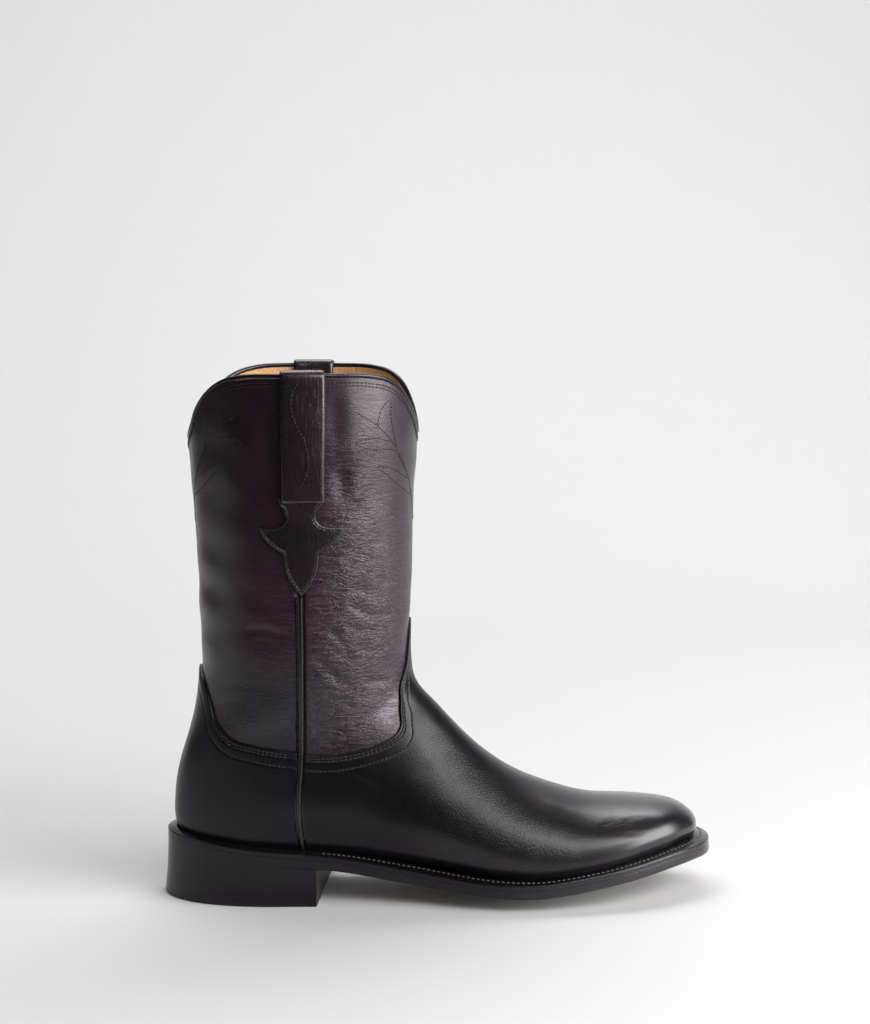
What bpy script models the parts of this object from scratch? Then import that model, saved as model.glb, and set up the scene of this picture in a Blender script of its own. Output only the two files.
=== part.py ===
"""Roper boot for the right foot: a black leather pull-on with shaft, vamp and counter, pull straps over spade tabs,
side-seam piping, a welt, a leather outsole and a low stacked heel. Metres, +Z up, toe towards +X, the inner
(medial) side of the foot towards +Y, the origin on the floor under the middle of the heel."""
import bmesh
import bpy
import numpy as np

# driving sizes
SOLE_LENGTH = 0.300
BOOT_HEIGHT = 0.284
BALL_WIDTH = 0.093
WALL = 0.0022
OVERLAY = 0.0013
OVERLAY_EDGE = 0.0006
GAP = 0.0003
WELT_THICK = 0.003
WELT_REACH = 0.009
WELT_MARGIN = 0.0082
HEEL_MARGIN = 0.0048
OUTSOLE_THICK = 0.005
EDGE_ROUND = 0.0008
INSOLE_THICK = 0.003
HEEL_CENTRE = 0.041
HEEL_DEPTH = 0.087
HEEL_FLARE = 0.002
BREAST_SLANT = 0.0067
SEAM_PLACE = 0.0785
SEAM_CHANNEL = 0.0017
PIPING_RADIUS = 0.0013
RIM_RADIUS = 0.0011
STRAP_WIDTH = 0.0225
STRAP_PLACE = 0.0801
STRAP_THICK = 0.0024
STRAP_DROP = 0.064
STRAP_INNER_DROP = 0.052
STRAP_RISE = 0.0014
TAB_WIDTH = 0.0430
TAB_HEIGHT = 0.0490
TAB_THICK = 0.0014

# grid counts
BACK_COLUMNS = 8
FRONT_COLUMNS = 17
STRAP_COLUMNS = 5
BED_SHARES = (0.32, 0.68)
FEATHER_COUNT = 700
PATH_COUNT = 41
FIND_STEPS = 44

# where the charts are searched, as shares of the last's whole way from toe to collar
SHAFT_START = 0.45
SOLE_MIDDLE = 0.42
SOLE_REACH = 0.5
# a corner of the feather line counts as this share of BALL_WIDTH when the columns are spaced round it
TURNING_SHARE = 0.3
# the spine of the sole stops this share of its length short of heel and toe
SPINE_STOP = 0.1
# share of a panel's height over which its wall leans from level to square
LEAN_SHARE = 0.09

SOLE_STACK = WELT_THICK + OUTSOLE_THICK
LAST_HEIGHT = BOOT_HEIGHT - SOLE_STACK

# The last, one row for each section of a fan that turns from the toe, over the instep, to the collar. The top is
# the section's point on the front ridge and the low is its point on the sole or the back. Places along x are per
# cent of SOLE_LENGTH from the sole's back end, heights are per cent of LAST_HEIGHT above the sole, half widths and
# the centre are per cent of BALL_WIDTH. w1 to w4 and a2, a3 shape the section, a Bezier curve of degree five.
LAST_COLUMNS = ("top_x", "top_z", "low_x", "low_z", "outer", "inner", "centre", "w1", "w2", "w3", "w4", "a2", "a3")
LAST_ROWS = (
    (97.57, 9.35, 97.57, 9.35, 0.0, 0.0, 11.8, 0.66, 1.25, 1.25, 0.66, 0.25, 0.75),
    (97.40, 10.62, 97.32, 8.24, 8.6, 8.6, 11.8, 0.70, 1.25, 1.25, 0.66, 0.23, 0.75),
    (96.68, 11.75, 96.60, 7.50, 15.1, 15.1, 11.3, 0.78, 1.24, 1.22, 0.66, 0.20, 0.75),
    (95.22, 13.03, 95.05, 6.76, 21.0, 21.0, 10.8, 0.84, 1.24, 1.20, 0.64, 0.18, 0.75),
    (92.55, 14.30, 92.20, 5.72, 29.0, 28.5, 9.7, 0.88, 1.24, 1.19, 0.62, 0.16, 0.75),
    (88.30, 15.02, 87.75, 4.06, 36.6, 35.5, 8.4, 0.92, 1.24, 1.17, 0.60, 0.15, 0.76),
    (83.20, 15.34, 81.85, 1.74, 42.5, 43.5, 7.3, 1.00, 1.23, 1.13, 0.58, 0.14, 0.77),
    (77.33, 15.72, 75.33, 0.10, 46.7, 49.2, 5.9, 1.03, 1.23, 1.08, 0.54, 0.14, 0.79),
    (71.67, 17.46, 68.00, -0.60, 49.3, 51.0, 3.8, 1.06, 1.23, 1.04, 0.50, 0.14, 0.80),
    (66.00, 20.04, 60.00, 0.00, 49.0, 48.6, 1.1, 1.02, 1.24, 1.02, 0.46, 0.15, 0.80),
    (60.67, 23.48, 50.67, 2.20, 45.7, 43.0, -1.6, 0.92, 1.25, 1.03, 0.44, 0.17, 0.80),
    (56.00, 27.61, 39.33, 3.80, 42.8, 38.6, -2.0, 0.84, 1.24, 1.08, 0.44, 0.19, 0.79),
    (51.83, 32.17, 27.50, 4.30, 41.2, 39.0, -1.1, 0.84, 1.21, 1.14, 0.48, 0.21, 0.78),
    (48.67, 35.72, 16.80, 3.90, 41.2, 40.3, -0.4, 0.89, 1.17, 1.20, 0.52, 0.23, 0.77),
    (46.23, 38.62, 8.60, 4.30, 41.4, 40.9, 0.0, 0.84, 1.12, 1.25, 0.56, 0.24, 0.76),
    (45.27, 41.09, 3.60, 7.20, 41.7, 41.4, 0.0, 0.73, 1.08, 1.28, 0.60, 0.25, 0.75),
    (45.07, 43.48, 1.85, 11.70, 42.2, 41.9, 0.0, 0.65, 1.07, 1.30, 0.62, 0.26, 0.75),
    (44.93, 46.01, 1.85, 17.39, 42.8, 42.6, 0.0, 0.60, 1.10, 1.31, 0.63, 0.26, 0.75),
    (44.93, 48.91, 2.83, 23.19, 43.7, 43.4, 0.0, 0.57, 1.16, 1.31, 0.63, 0.26, 0.75),
    (45.00, 52.54, 4.83, 30.43, 44.9, 44.7, 0.0, 0.58, 1.22, 1.30, 0.63, 0.25, 0.75),
    (45.07, 57.25, 6.40, 39.86, 46.8, 46.8, 0.0, 0.60, 1.27, 1.29, 0.63, 0.25, 0.75),
    (45.17, 63.04, 6.80, 53.26, 49.5, 49.5, 0.0, 0.62, 1.28, 1.28, 0.63, 0.25, 0.75),
    (45.33, 71.38, 6.30, 67.75, 53.2, 53.2, 0.0, 0.63, 1.28, 1.28, 0.63, 0.25, 0.75),
    (45.80, 81.16, 5.57, 80.43, 56.5, 56.5, 0.0, 0.63, 1.28, 1.28, 0.63, 0.25, 0.75),
    (46.67, 92.03, 4.80, 92.03, 58.6, 58.6, 0.0, 0.63, 1.28, 1.28, 0.63, 0.25, 0.75),
    (47.00, 103.62, 4.33, 103.62, 59.7, 59.7, 0.0, 0.63, 1.28, 1.28, 0.63, 0.25, 0.75),
)
# height of the line where the upper meets the welt, per cent of SOLE_LENGTH and of LAST_HEIGHT
FEATHER = ((0, 11.0), (8.3, 9.95), (17.3, 8.7), (25, 8.05), (33.3, 7.25), (44, 5.58), (53.7, 4.0), (63.3, 3.04),
           (68, 2.97), (74.3, 3.7), (81, 4.78), (86.3, 5.9), (92.2, 7.2), (95, 7.7), (98, 8.1))
# how far the middle of the sole hangs below that line, the margin outside it as a share of WELT_MARGIN or
# HEEL_MARGIN, and the drop of the welt's edge in per cent of LAST_HEIGHT
CROWN = ((0, 0.3), (8, 0.9), (17, 1.0), (33, 1.1), (44, 1.9), (54, 3.0), (61, 3.5), (68, 3.45), (74, 3.4), (81, 2.7),
         (86, 1.9), (92, 1.0), (97, 0.3))
EDGE_DROP = ((0, 0.55), (17, 0.45), (33, 0.6), (44, 0.75), (54, 0.6), (63, 0.35), (70, 0.2), (86, 0.2), (92, 0.4),
             (97, 0.8))
MARGIN_BLEND = ((0, 0), (26, 0), (34, 0.35), (44, 0.85), (53, 1), (86, 1), (93, 1.05), (97.6, 1.2),
                (100, 1.22))
# the top edges of counter and vamp, and the collar: share around from back to front, per cent of LAST_HEIGHT
VAMP_LINE = ((0, 42.6), (0.04, 41.9), (0.08, 41.2), (0.126, 39.7), (0.182, 36.8), (0.22, 34.1), (0.27, 31.9),
             (0.327, 30.0), (0.396, 29.0), (0.453, 28.4), (0.516, 27.8), (0.553, 27.2), (0.597, 27.3), (0.635, 28.0),
             (0.679, 29.2), (0.736, 31.2), (0.775, 33.2), (0.80, 34.9), (0.83, 36.9), (0.855, 39.2), (0.885, 41.2),
             (0.912, 42.9), (0.962, 47.6), (1, 52.0))
COLLAR_LINE = ((0, 86.8), (0.03, 87.1), (0.06, 88.0), (0.119, 90.2), (0.164, 93.2), (0.22, 96.2), (0.283, 98.6),
               (0.34, 99.6), (0.459, 100), (0.579, 100), (0.70, 99.8), (0.76, 99.0), (0.811, 97.3),
               (0.881, 93.2), (0.94, 89.8), (0.97, 88.6), (1, 88.2))
# how far the grid's columns bow backwards under the vamp line and above it, as shares of the seam's bow
PANEL_BOW = ((0, 0), (0.3, 0), (0.39, 0.35), (0.454, 0.68), (0.53, 1), (0.65, 1.17), (0.70, 1.1),
             (0.754, 0.85), (0.80, 0.5), (0.86, 0.2), (0.93, 0.04), (1, 0))
SHAFT_BOW = ((0, 0), (0.25, 0.6), (0.52, 1), (0.76, 0.6), (1, 0))
# the spade tab from its top down: share of TAB_HEIGHT, half width as a share of half TAB_WIDTH
TAB_ROWS = ((0, 0.52), (0.03, 0.45), (0.08, 0.34), (0.14, 0.32), (0.19, 0.40), (0.225, 0.60), (0.25, 1.0),
            (0.31, 0.95), (0.37, 0.87), (0.44, 0.70), (0.50, 0.50), (0.545, 0.41), (0.60, 0.385), (0.70, 0.36),
            (0.80, 0.28), (0.90, 0.16), (0.96, 0.07), (1, 0.012))


def table_value(table, place):
    """a two-column table read at a place, smoothed by a cubic through its rows"""
    at, value = np.array(table, float).T
    slope = np.gradient(value, at)
    i = np.clip(np.searchsorted(at, place, side="right") - 1, 0, len(at) - 2)
    step = at[i + 1] - at[i]
    u = np.clip((place - at[i]) / step, 0, 1)
    return (value[i] * (1 + 2 * u) * (1 - u) ** 2 + value[i + 1] * u * u * (3 - 2 * u)
            + step * u * (1 - u) * (slope[i] * (1 - u) - slope[i + 1] * u))


def last_sections():
    """the rows in metres, led through the toe's pole so that both sides of the toe join smoothly"""
    rows = np.array(LAST_ROWS, float)
    rows[:, [0, 2]] = rows[:, [0, 2]] / 100 * SOLE_LENGTH - HEEL_CENTRE
    rows[:, [1, 3]] = SOLE_STACK + rows[:, [1, 3]] / 100 * LAST_HEIGHT
    rows[:, [4, 5, 6]] *= BALL_WIDTH / 100
    step = np.abs(np.diff(rows[:, :6], axis=0))
    travel = (np.hypot(step[:, 0], step[:, 1]) + np.hypot(step[:, 2], step[:, 3]) + step[:, 4] + step[:, 5]) / 4
    along = np.concatenate([[0], np.cumsum(travel)])
    far = rows[3:0:-1].copy()
    far[:, :4] = far[:, [2, 3, 0, 1]]
    far[:, 4:6] *= -1
    return np.concatenate([-along[3:0:-1], along]), np.concatenate([far, rows])


def spline_bend(at, value):
    """second derivatives of the natural cubic spline through the sections"""
    step = np.diff(at)
    matrix = np.eye(len(at))
    right = np.zeros_like(value)
    for i in range(1, len(at) - 1):
        matrix[i, i - 1:i + 2] = step[i - 1], 2 * (step[i - 1] + step[i]), step[i]
        right[i] = 6 * ((value[i + 1] - value[i]) / step[i] - (value[i] - value[i - 1]) / step[i - 1])
    return np.linalg.solve(matrix, right)


ALONG, SECTIONS = last_sections()
BEND = spline_bend(ALONG, SECTIONS)


def section_at(along):
    i = np.clip(np.searchsorted(ALONG, along, side="right") - 1, 0, len(ALONG) - 2)
    step = ALONG[i + 1] - ALONG[i]
    a = ((ALONG[i + 1] - along) / step)[..., None]
    b = 1 - a
    bend = ((a ** 3 - a) * BEND[i] + (b ** 3 - b) * BEND[i + 1]) * (step * step)[..., None] / 6
    return a * SECTIONS[i] + b * SECTIONS[i + 1] + bend


def last_point(chart):
    """a point of the last from a flat chart: its distance from the middle runs from the toe to the collar, its
    angle from +X (sole and back) to -X (front ridge), with the outer side of the foot at negative Y"""
    x, y = chart[..., 0], chart[..., 1]
    turn = np.arctan2(np.abs(y), x) / np.pi
    row = section_at(np.hypot(x, y))
    top_x, top_z, low_x, low_z, outer, inner, centre, w1, w2, w3, w4, a2, a3 = np.moveaxis(row, -1, 0)
    u = 1 - turn
    b1, b2, b3, b4, b5 = (5 * turn * u ** 4, 10 * turn ** 2 * u ** 3, 10 * turn ** 3 * u ** 2, 5 * turn ** 4 * u,
                          turn ** 5)
    up = a2 * b2 + a3 * b3 + b4 + b5
    wide = w1 * b1 + w2 * b2 + w3 * b3 + w4 * b4
    half = np.where(y < 0, -outer, inner)
    return np.stack([low_x + up * (top_x - low_x), centre + half * wide, low_z + up * (top_z - low_z)], -1)


def last_normal(chart):
    """unit normal out of the last, from small steps on the chart"""
    h = SOLE_LENGTH / 750
    dx, dy = np.array([h, 0]), np.array([0, h])
    across = last_point(chart + dx) - last_point(chart - dx)
    along = last_point(chart + dy) - last_point(chart - dy)
    normal = np.cross(across, along)
    return normal / np.linalg.norm(normal, axis=-1, keepdims=True)


def percent_x(x):
    return (x + HEEL_CENTRE) / SOLE_LENGTH * 100


def feather_height(x):
    return SOLE_STACK + table_value(FEATHER, percent_x(x)) / 100 * LAST_HEIGHT


def find(low, high, value):
    """where a function of an array of shares crosses zero between low and high"""
    for _ in range(FIND_STEPS):
        middle = (low + high) / 2
        below = value(middle) < 0
        low, high = np.where(below, middle, low), np.where(below, high, middle)
    return (low + high) / 2


def chart_at_height(turn, side, height):
    """chart points on the shaft at these angles and heights"""
    direction = np.stack([np.cos(np.pi * turn), side * np.sin(np.pi * turn)], -1)
    start = np.full(turn.shape, ALONG[-1] * SHAFT_START)
    reach = find(start, np.full(turn.shape, ALONG[-1]),
                 lambda r: last_point(direction * r[..., None])[..., 2] - height)
    return direction * reach[..., None]


def feather_half(side, count=FEATHER_COUNT):
    """chart points of the feather line from the back of the heel to the toe, on one side"""
    start = np.array([ALONG[-1] * SOLE_MIDDLE, 0.0])
    ray = np.linspace(0, np.pi, count)
    direction = np.stack([np.cos(ray), side * np.sin(ray)], -1)
    low, high = np.zeros(count), np.full(count, ALONG[-1] * SOLE_REACH)

    def above(r):
        point = last_point(start + direction * r[:, None])
        return point[:, 2] - feather_height(point[:, 0])

    return start + direction * find(low, high, above)[:, None]


def side_columns(side):
    """the chart points of one side's columns at the feather, at the vamp line and at the collar, back to front"""
    chart = feather_half(side)
    place = last_point(chart)
    step = np.diff(place[:, :2], axis=0)
    heading = np.unwrap(np.arctan2(step[:, 1], step[:, 0]))
    turning = np.abs(np.concatenate([[0], np.diff(heading)]))
    bend = TURNING_SHARE * BALL_WIDTH * np.convolve(turning, np.ones(9) / 9, "same")
    measure = np.concatenate([[0], np.cumsum(np.hypot(*step.T) + bend)])
    seam_x = SEAM_PLACE - HEEL_CENTRE

    def at_x(x):
        return measure[np.argmax(place[:, 0] > x)]

    channel = (SEAM_CHANNEL + OVERLAY_EDGE, SEAM_CHANNEL, -SEAM_CHANNEL, -SEAM_CHANNEL - OVERLAY_EDGE)
    marks = np.concatenate([
        np.linspace(0, at_x(seam_x - channel[0]), BACK_COLUMNS, endpoint=False),
        [at_x(seam_x - c) for c in channel],
        np.linspace(at_x(seam_x - channel[3]), measure[-1], FRONT_COLUMNS + 1)[1:]])
    feather = np.stack([np.interp(marks, measure, chart[:, i]) for i in range(2)], -1)

    def upper_line(line, ease):
        seam_turn = find(np.zeros(4), np.ones(4), lambda t: last_point(chart_at_height(
            t, side, SOLE_STACK + LAST_HEIGHT * table_value(line, t) / 100))[:, 0] - (seam_x - np.array(channel)))
        back = seam_turn[0] * ease(np.linspace(0, 1, BACK_COLUMNS, endpoint=False))
        front = 1 - (1 - seam_turn[3]) * ease(np.linspace(1, 0, FRONT_COLUMNS + 1)[1:])
        turn = np.concatenate([back, seam_turn, front])
        return chart_at_height(turn, side, SOLE_STACK + LAST_HEIGHT * table_value(line, turn) / 100)

    return feather, upper_line(VAMP_LINE, lambda u: u), upper_line(COLLAR_LINE, lambda u: u * (0.62 + 0.38 * u))


def whole_loop(outer, inner):
    """one array around the boot: back of the heel, outer side, toe, inner side"""
    return np.concatenate([outer, inner[-2:0:-1]])


FEATHER_CHART, VAMP_CHART, COLLAR_CHART = (whole_loop(o, i) for o, i in zip(side_columns(-1), side_columns(1)))
SIDE_COUNT = BACK_COLUMNS + 4 + FRONT_COLUMNS
COLUMNS = len(FEATHER_CHART)
PARTNER = (-np.arange(COLUMNS)) % COLUMNS
SEAM_COLUMNS = np.array([BACK_COLUMNS + 1, BACK_COLUMNS + 2, COLUMNS - BACK_COLUMNS - 2, COLUMNS - BACK_COLUMNS - 1])

FEATHER_LINE = last_point(FEATHER_CHART)
FEATHER_LINE[:, 2] = feather_height(FEATHER_LINE[:, 0])


def plan_normal(line):
    """horizontal unit normal out of a closed line that runs heel, outer side, toe, inner side"""
    step = np.roll(line, -1, 0) - np.roll(line, 1, 0)
    out = np.stack([step[:, 1], -step[:, 0], np.zeros(len(line))], -1)
    return out / np.linalg.norm(out, axis=1, keepdims=True)


PLAN_NORMAL = plan_normal(FEATHER_LINE)


def spine_line():
    """for each column the point of the sole's middle line that it shares with the column across the foot"""
    middle = (FEATHER_LINE + FEATHER_LINE[PARTNER]) / 2
    half = middle[:SIDE_COUNT]
    keep = SPINE_STOP * SOLE_LENGTH
    x = np.clip(middle[:, 0], half[0, 0] + keep, half[-1, 0] - keep)
    y = np.interp(x, half[:, 0], half[:, 1])
    z = feather_height(x) - table_value(CROWN, percent_x(x)) / 100 * LAST_HEIGHT
    return np.stack([x, y, z], -1)


SPINE = spine_line()


def bed(inset):
    """points of the surface that the upper stands on, that far in from the feather line"""
    place = FEATHER_LINE - PLAN_NORMAL * inset
    reach = np.linalg.norm((place - SPINE)[:, :2], axis=1) / np.linalg.norm((FEATHER_LINE - SPINE)[:, :2], axis=1)
    hang = 1 - np.clip(1 - reach ** 2, 0, 1) ** 1.5
    place[:, 2] = SPINE[:, 2] + (FEATHER_LINE[:, 2] - SPINE[:, 2]) * hang
    return place


def bed_share(share):
    """points of the same surface at a share of the way from the middle line to the insole's edge"""
    edge = bed(WELT_REACH)
    place = SPINE + (edge - SPINE) * share
    reach = share * np.linalg.norm((edge - SPINE)[:, :2], axis=1) / np.linalg.norm(
        (FEATHER_LINE - SPINE)[:, :2], axis=1)
    hang = 1 - np.clip(1 - reach ** 2, 0, 1) ** 1.5
    place[:, 2] = SPINE[:, 2] + (FEATHER_LINE[:, 2] - SPINE[:, 2]) * hang
    return place


def sole_edge(extra=0.0):
    """the outside of the welt and sole, at the welt's top"""
    at = percent_x(FEATHER_LINE[:, 0])
    margin = HEEL_MARGIN + (WELT_MARGIN - HEEL_MARGIN) * table_value(MARGIN_BLEND, at)
    place = FEATHER_LINE + PLAN_NORMAL * (margin + extra)[:, None]
    place[:, 2] = FEATHER_LINE[:, 2] - table_value(EDGE_DROP, at) / 100 * LAST_HEIGHT
    return place


def down(line, depth):
    return line - np.array([0, 0, depth])


MATERIALS = {
    "shaft_leather": ((0.020, 0.015, 0.018), 0.42, 0.0),
    "piping_leather": ((0.018, 0.014, 0.018), 0.35, 0.0),
    "strap_leather": ((0.022, 0.017, 0.020), 0.38, 0.0),
    "welt_leather": ((0.016, 0.012, 0.014), 0.45, 0.0),
    "sole_leather": ((0.024, 0.017, 0.021), 0.38, 0.0),
    "insole_leather": ((0.42, 0.26, 0.14), 0.65, 0.0),
}


def material(name):
    if name in bpy.data.materials:
        return bpy.data.materials[name]
    colour, roughness, metallic = MATERIALS[name]
    made = bpy.data.materials.new(name)
    made.use_nodes = True
    shader = made.node_tree.nodes["Principled BSDF"]
    shader.inputs["Base Color"].default_value = (*colour, 1)
    shader.inputs["Roughness"].default_value = roughness
    shader.inputs["Metallic"].default_value = metallic
    return made


def new_object(name, slot, points, faces, sharp=35):
    mesh = bpy.data.meshes.new(name)
    mesh.from_pydata([tuple(p) for p in points], [], faces)
    work = bmesh.new()
    work.from_mesh(mesh)
    bmesh.ops.remove_doubles(work, verts=work.verts, dist=1e-6)
    bmesh.ops.dissolve_degenerate(work, edges=work.edges, dist=1e-6)
    bmesh.ops.triangulate(work, faces=work.faces, quad_method="SHORT_EDGE", ngon_method="BEAUTY")
    bmesh.ops.recalc_face_normals(work, faces=work.faces)
    work.to_mesh(mesh)
    work.free()
    mesh.shade_smooth()
    mesh.set_sharp_from_angle(angle=np.radians(sharp))
    if slot:
        mesh.materials.append(material(slot))
    made = bpy.data.objects.new(name, mesh)
    BOOT.objects.link(made)
    return made


def loft(name, slot, loops, ring=True, closed=False):
    """a solid through loops of equal count. ring joins the last point of each loop to its first, closed joins the
    last loop to the first, and open ends are capped"""
    loops = np.array(loops)
    rows, count = loops.shape[:2]
    index = np.arange(rows * count).reshape(rows, count)
    down_rows = np.vstack([index, index[:1]]) if closed else index
    grid = np.hstack([down_rows, down_rows[:, :1]]) if ring else down_rows
    quads = np.stack([grid[:-1, :-1], grid[:-1, 1:], grid[1:, 1:], grid[1:, :-1]], -1).reshape(-1, 4)
    faces = [tuple(int(i) for i in quad) for quad in quads]
    if closed and not ring:
        faces += [tuple(int(i) for i in index[::-1, 0]), tuple(int(i) for i in index[:, -1])]
    if ring and not closed:
        faces += [tuple(int(i) for i in index[0, ::-1]), tuple(int(i) for i in index[-1])]
    return new_object(name, slot, loops.reshape(-1, 3), faces)


def slab(name, slot, top, bottom, columns=None):
    """a sole layer between two sets of loops that start at the middle line. Given columns take only the heel's
    part, whose front is closed across the foot"""
    loops = np.array(list(top) + list(bottom)[::-1])
    if columns is None:
        rows, count = loops.shape[:2]
        index = np.arange(rows * count).reshape(rows, count)
        grid = np.hstack([index, index[:, :1]])
        front = []
    else:
        loops = loops[:, columns]
        rows, count = loops.shape[:2]
        grid = index = np.arange(rows * count).reshape(rows, count)
        depth = len(top)
        front = [(index[k, e], index[k + 1, e], index[-2 - k, e], index[-1 - k, e])
                 for e in (0, -1) for k in range(depth - 1)]
    quads = np.stack([grid[:-1, :-1], grid[:-1, 1:], grid[1:, 1:], grid[1:, :-1]], -1).reshape(-1, 4)
    faces = [tuple(int(i) for i in face) for face in list(quads) + front]
    return new_object(name, slot, loops.reshape(-1, 3), faces)


# the upper: rows of the panel below the vamp line, then of the shaft above it, as shares of the way up
LOWER_STEPS = (0, 0.035, 0.09, 0.17, 0.27, 0.38, 0.5, 0.62, 0.74, 0.85, 0.93, 1)
SHAFT_STEPS = (0.05, 0.12, 0.2, 0.3, 0.4, 0.5, 0.6, 0.7, 0.79, 0.87, 0.94, 1)
SHAFT_EASE = 0.3


def column_paths(start, end, bow, count=PATH_COUNT):
    """chart paths from start to end, bowed aside by a share of their chord, with each point's share of the way"""
    chord = end - start
    square = np.stack([-chord[:, 1], chord[:, 0]], -1) * (bow * np.sign(start[:, 1] - 1e-9))[:, None] * -1
    way = np.linspace(0, 1, count)[:, None, None]
    path = start + chord * way + square * 4 * way * (1 - way)
    step = np.linalg.norm(np.diff(last_point(path), axis=0), axis=-1)
    travel = np.concatenate([np.zeros((1, len(start))), np.cumsum(step, 0)])
    return path, travel / travel[-1]


def seam_bow(start, end):
    """the bow that keeps the middle of the seam's path upright over its ends"""
    ends = np.stack([start[BACK_COLUMNS + 1], end[BACK_COLUMNS + 1]])
    chord = ends[1] - ends[0]
    aside = np.array([-chord[1], chord[0]])
    upright = last_point(ends)[:, 0].mean()
    return float(find(np.array(-0.3), np.array(0.3), lambda b: upright - last_point(ends.mean(0) + aside * b)[0]))


VAMP_TURN = np.arctan2(np.abs(VAMP_CHART[:, 1]), VAMP_CHART[:, 0]) / np.pi
PANEL_PATHS = column_paths(FEATHER_CHART, VAMP_CHART,
                           seam_bow(FEATHER_CHART, VAMP_CHART) * table_value(PANEL_BOW, VAMP_TURN))
SHAFT_PATHS = column_paths(VAMP_CHART, COLLAR_CHART,
                           seam_bow(VAMP_CHART, COLLAR_CHART) * table_value(SHAFT_BOW, VAMP_TURN))


def along_path(paths, share):
    """one chart point on each column, at these shares of its length"""
    share = np.broadcast_to(share, (COLUMNS,))
    path, travel = paths
    return np.array([[np.interp(share[j], travel[:, j], path[:, j, k]) for k in (0, 1)] for j in range(COLUMNS)])


def panel_chart(share):
    return along_path(PANEL_PATHS, share)


def shaft_chart(share):
    return along_path(SHAFT_PATHS, share)


def wall_lean(share):
    """how much of the last's own slope the wall's thickness follows, growing from none at the feather line"""
    return min(1, share / LEAN_SHARE)


def leather_normal(chart, lean):
    """the last's normal, turned level at the feather line, where the wall ends on the welt"""
    normal = last_normal(chart)
    normal[..., 2] *= lean
    return normal / np.linalg.norm(normal, axis=-1, keepdims=True)


def shaft_sink(share):
    """the shaft leather comes out from under the vamp and reaches the last's form a little above"""
    ease = np.clip(1 - np.asarray(share) / SHAFT_EASE, 0, 1)
    return OVERLAY * ease * ease * (3 - 2 * ease)


def lower_row(share, depth):
    chart = panel_chart(share)
    place = last_point(chart) + leather_normal(chart, wall_lean(share)) * -np.asarray(depth)[..., None]
    if share == 0:
        place[:, 2] = FEATHER_LINE[:, 2]
    return place


def shaft_row(share, depth):
    chart = shaft_chart(share)
    return last_point(chart) - leather_normal(chart, 1) * np.asarray(depth)[..., None]


def upper():
    """one wall from the welt to the collar. Vamp and counter stand OVERLAY proud of the shaft, and both stop
    short of the side seams, whose channels hold the piping"""
    overlay_depth = np.zeros(COLUMNS)
    overlay_depth[SEAM_COLUMNS] = OVERLAY
    full = np.full(COLUMNS, OVERLAY)
    height = np.linalg.norm(last_point(COLLAR_CHART) - last_point(VAMP_CHART), axis=1)
    outside = [lower_row(u, overlay_depth) for u in LOWER_STEPS]
    edge_chart = shaft_chart(OVERLAY_EDGE / height)
    outside.append(last_point(edge_chart) - last_normal(edge_chart) * full[:, None])
    outside += [shaft_row(u, full * 0 + shaft_sink(u)) for u in SHAFT_STEPS]
    inside = [lower_row(u, full + WALL) for u in LOWER_STEPS]
    inside += [shaft_row(u, full * 0 + shaft_sink(u) + WALL) for u in SHAFT_STEPS]
    return loft("upper", "shaft_leather", outside + inside[::-1], closed=True)


def topline_piping():
    """a bead on the collar's rim"""
    outside, inside = shaft_row(1, np.zeros(COLUMNS)), shaft_row(1, np.full(COLUMNS, WALL))
    middle = (outside + inside) / 2
    normal = last_normal(COLLAR_CHART)
    run = np.roll(middle, -1, 0) - np.roll(middle, 1, 0)
    up = np.cross(normal, run)
    up /= np.linalg.norm(up, axis=1, keepdims=True)
    up *= np.sign(up[:, 2:])
    centre = middle + up * (RIM_RADIUS + GAP)
    loops = [centre + RIM_RADIUS * (np.cos(a) * normal + np.sin(a) * up)
             for a in np.linspace(0, 2 * np.pi, 6, endpoint=False)]
    return loft("topline_piping", "piping_leather", loops, closed=True)


def rounded_edge(top, bottom, outward):
    """the four loops of a layer's edge, eased by EDGE_ROUND at both corners"""
    inset = outward * EDGE_ROUND
    return [top - inset, down(top, EDGE_ROUND), down(bottom, -EDGE_ROUND), bottom - inset]


def sole_layers():
    edge = sole_edge()
    reach = WELT_REACH
    # welt, from seam to seam round the toe
    along = np.arange(BACK_COLUMNS + 3, COLUMNS - BACK_COLUMNS - 2)
    welt_top, welt_bottom = GAP, WELT_THICK
    corners = rounded_edge(down(edge, welt_top), down(edge, welt_bottom), PLAN_NORMAL)
    strip = [bed(reach), bed(0)]
    loops = [down(r, welt_top) for r in strip] + corners + [down(r, welt_bottom) for r in strip[::-1]]
    loft("welt", "welt_leather", [loop[along] for loop in loops], ring=False, closed=True)

    # heel seat, which fills the welt's layer behind the seams
    around = np.arange(-BACK_COLUMNS - 1, BACK_COLUMNS + 2)
    rings = [SPINE] + [bed_share(u) for u in BED_SHARES] + strip
    top = [down(r, welt_top) for r in rings] + corners[:2]
    bottom = [down(r, welt_bottom) for r in rings] + corners[:1:-1]
    slab("heel_seat", "sole_leather", top, bottom, around)

    # outsole, its underside flattened where the ball rests on the floor
    top_depth = WELT_THICK + GAP
    corners = rounded_edge(down(edge, top_depth), down(edge, SOLE_STACK), PLAN_NORMAL)
    top = [down(r, top_depth) for r in rings] + corners[:2]
    bottom = [down(r, SOLE_STACK) for r in rings] + corners[:1:-1]
    for loop in bottom:
        loop[:, 2] = np.maximum(loop[:, 2], 0)
    slab("outsole", "sole_leather", top, bottom)

    # insole, inside the upper's wall
    rim = WALL + OVERLAY + GAP * 2
    rings = rings[:-1] + [bed(rim)]
    slab("insole", "insole_leather", rings, [down(r, -INSOLE_THICK) for r in rings])
    return edge


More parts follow.
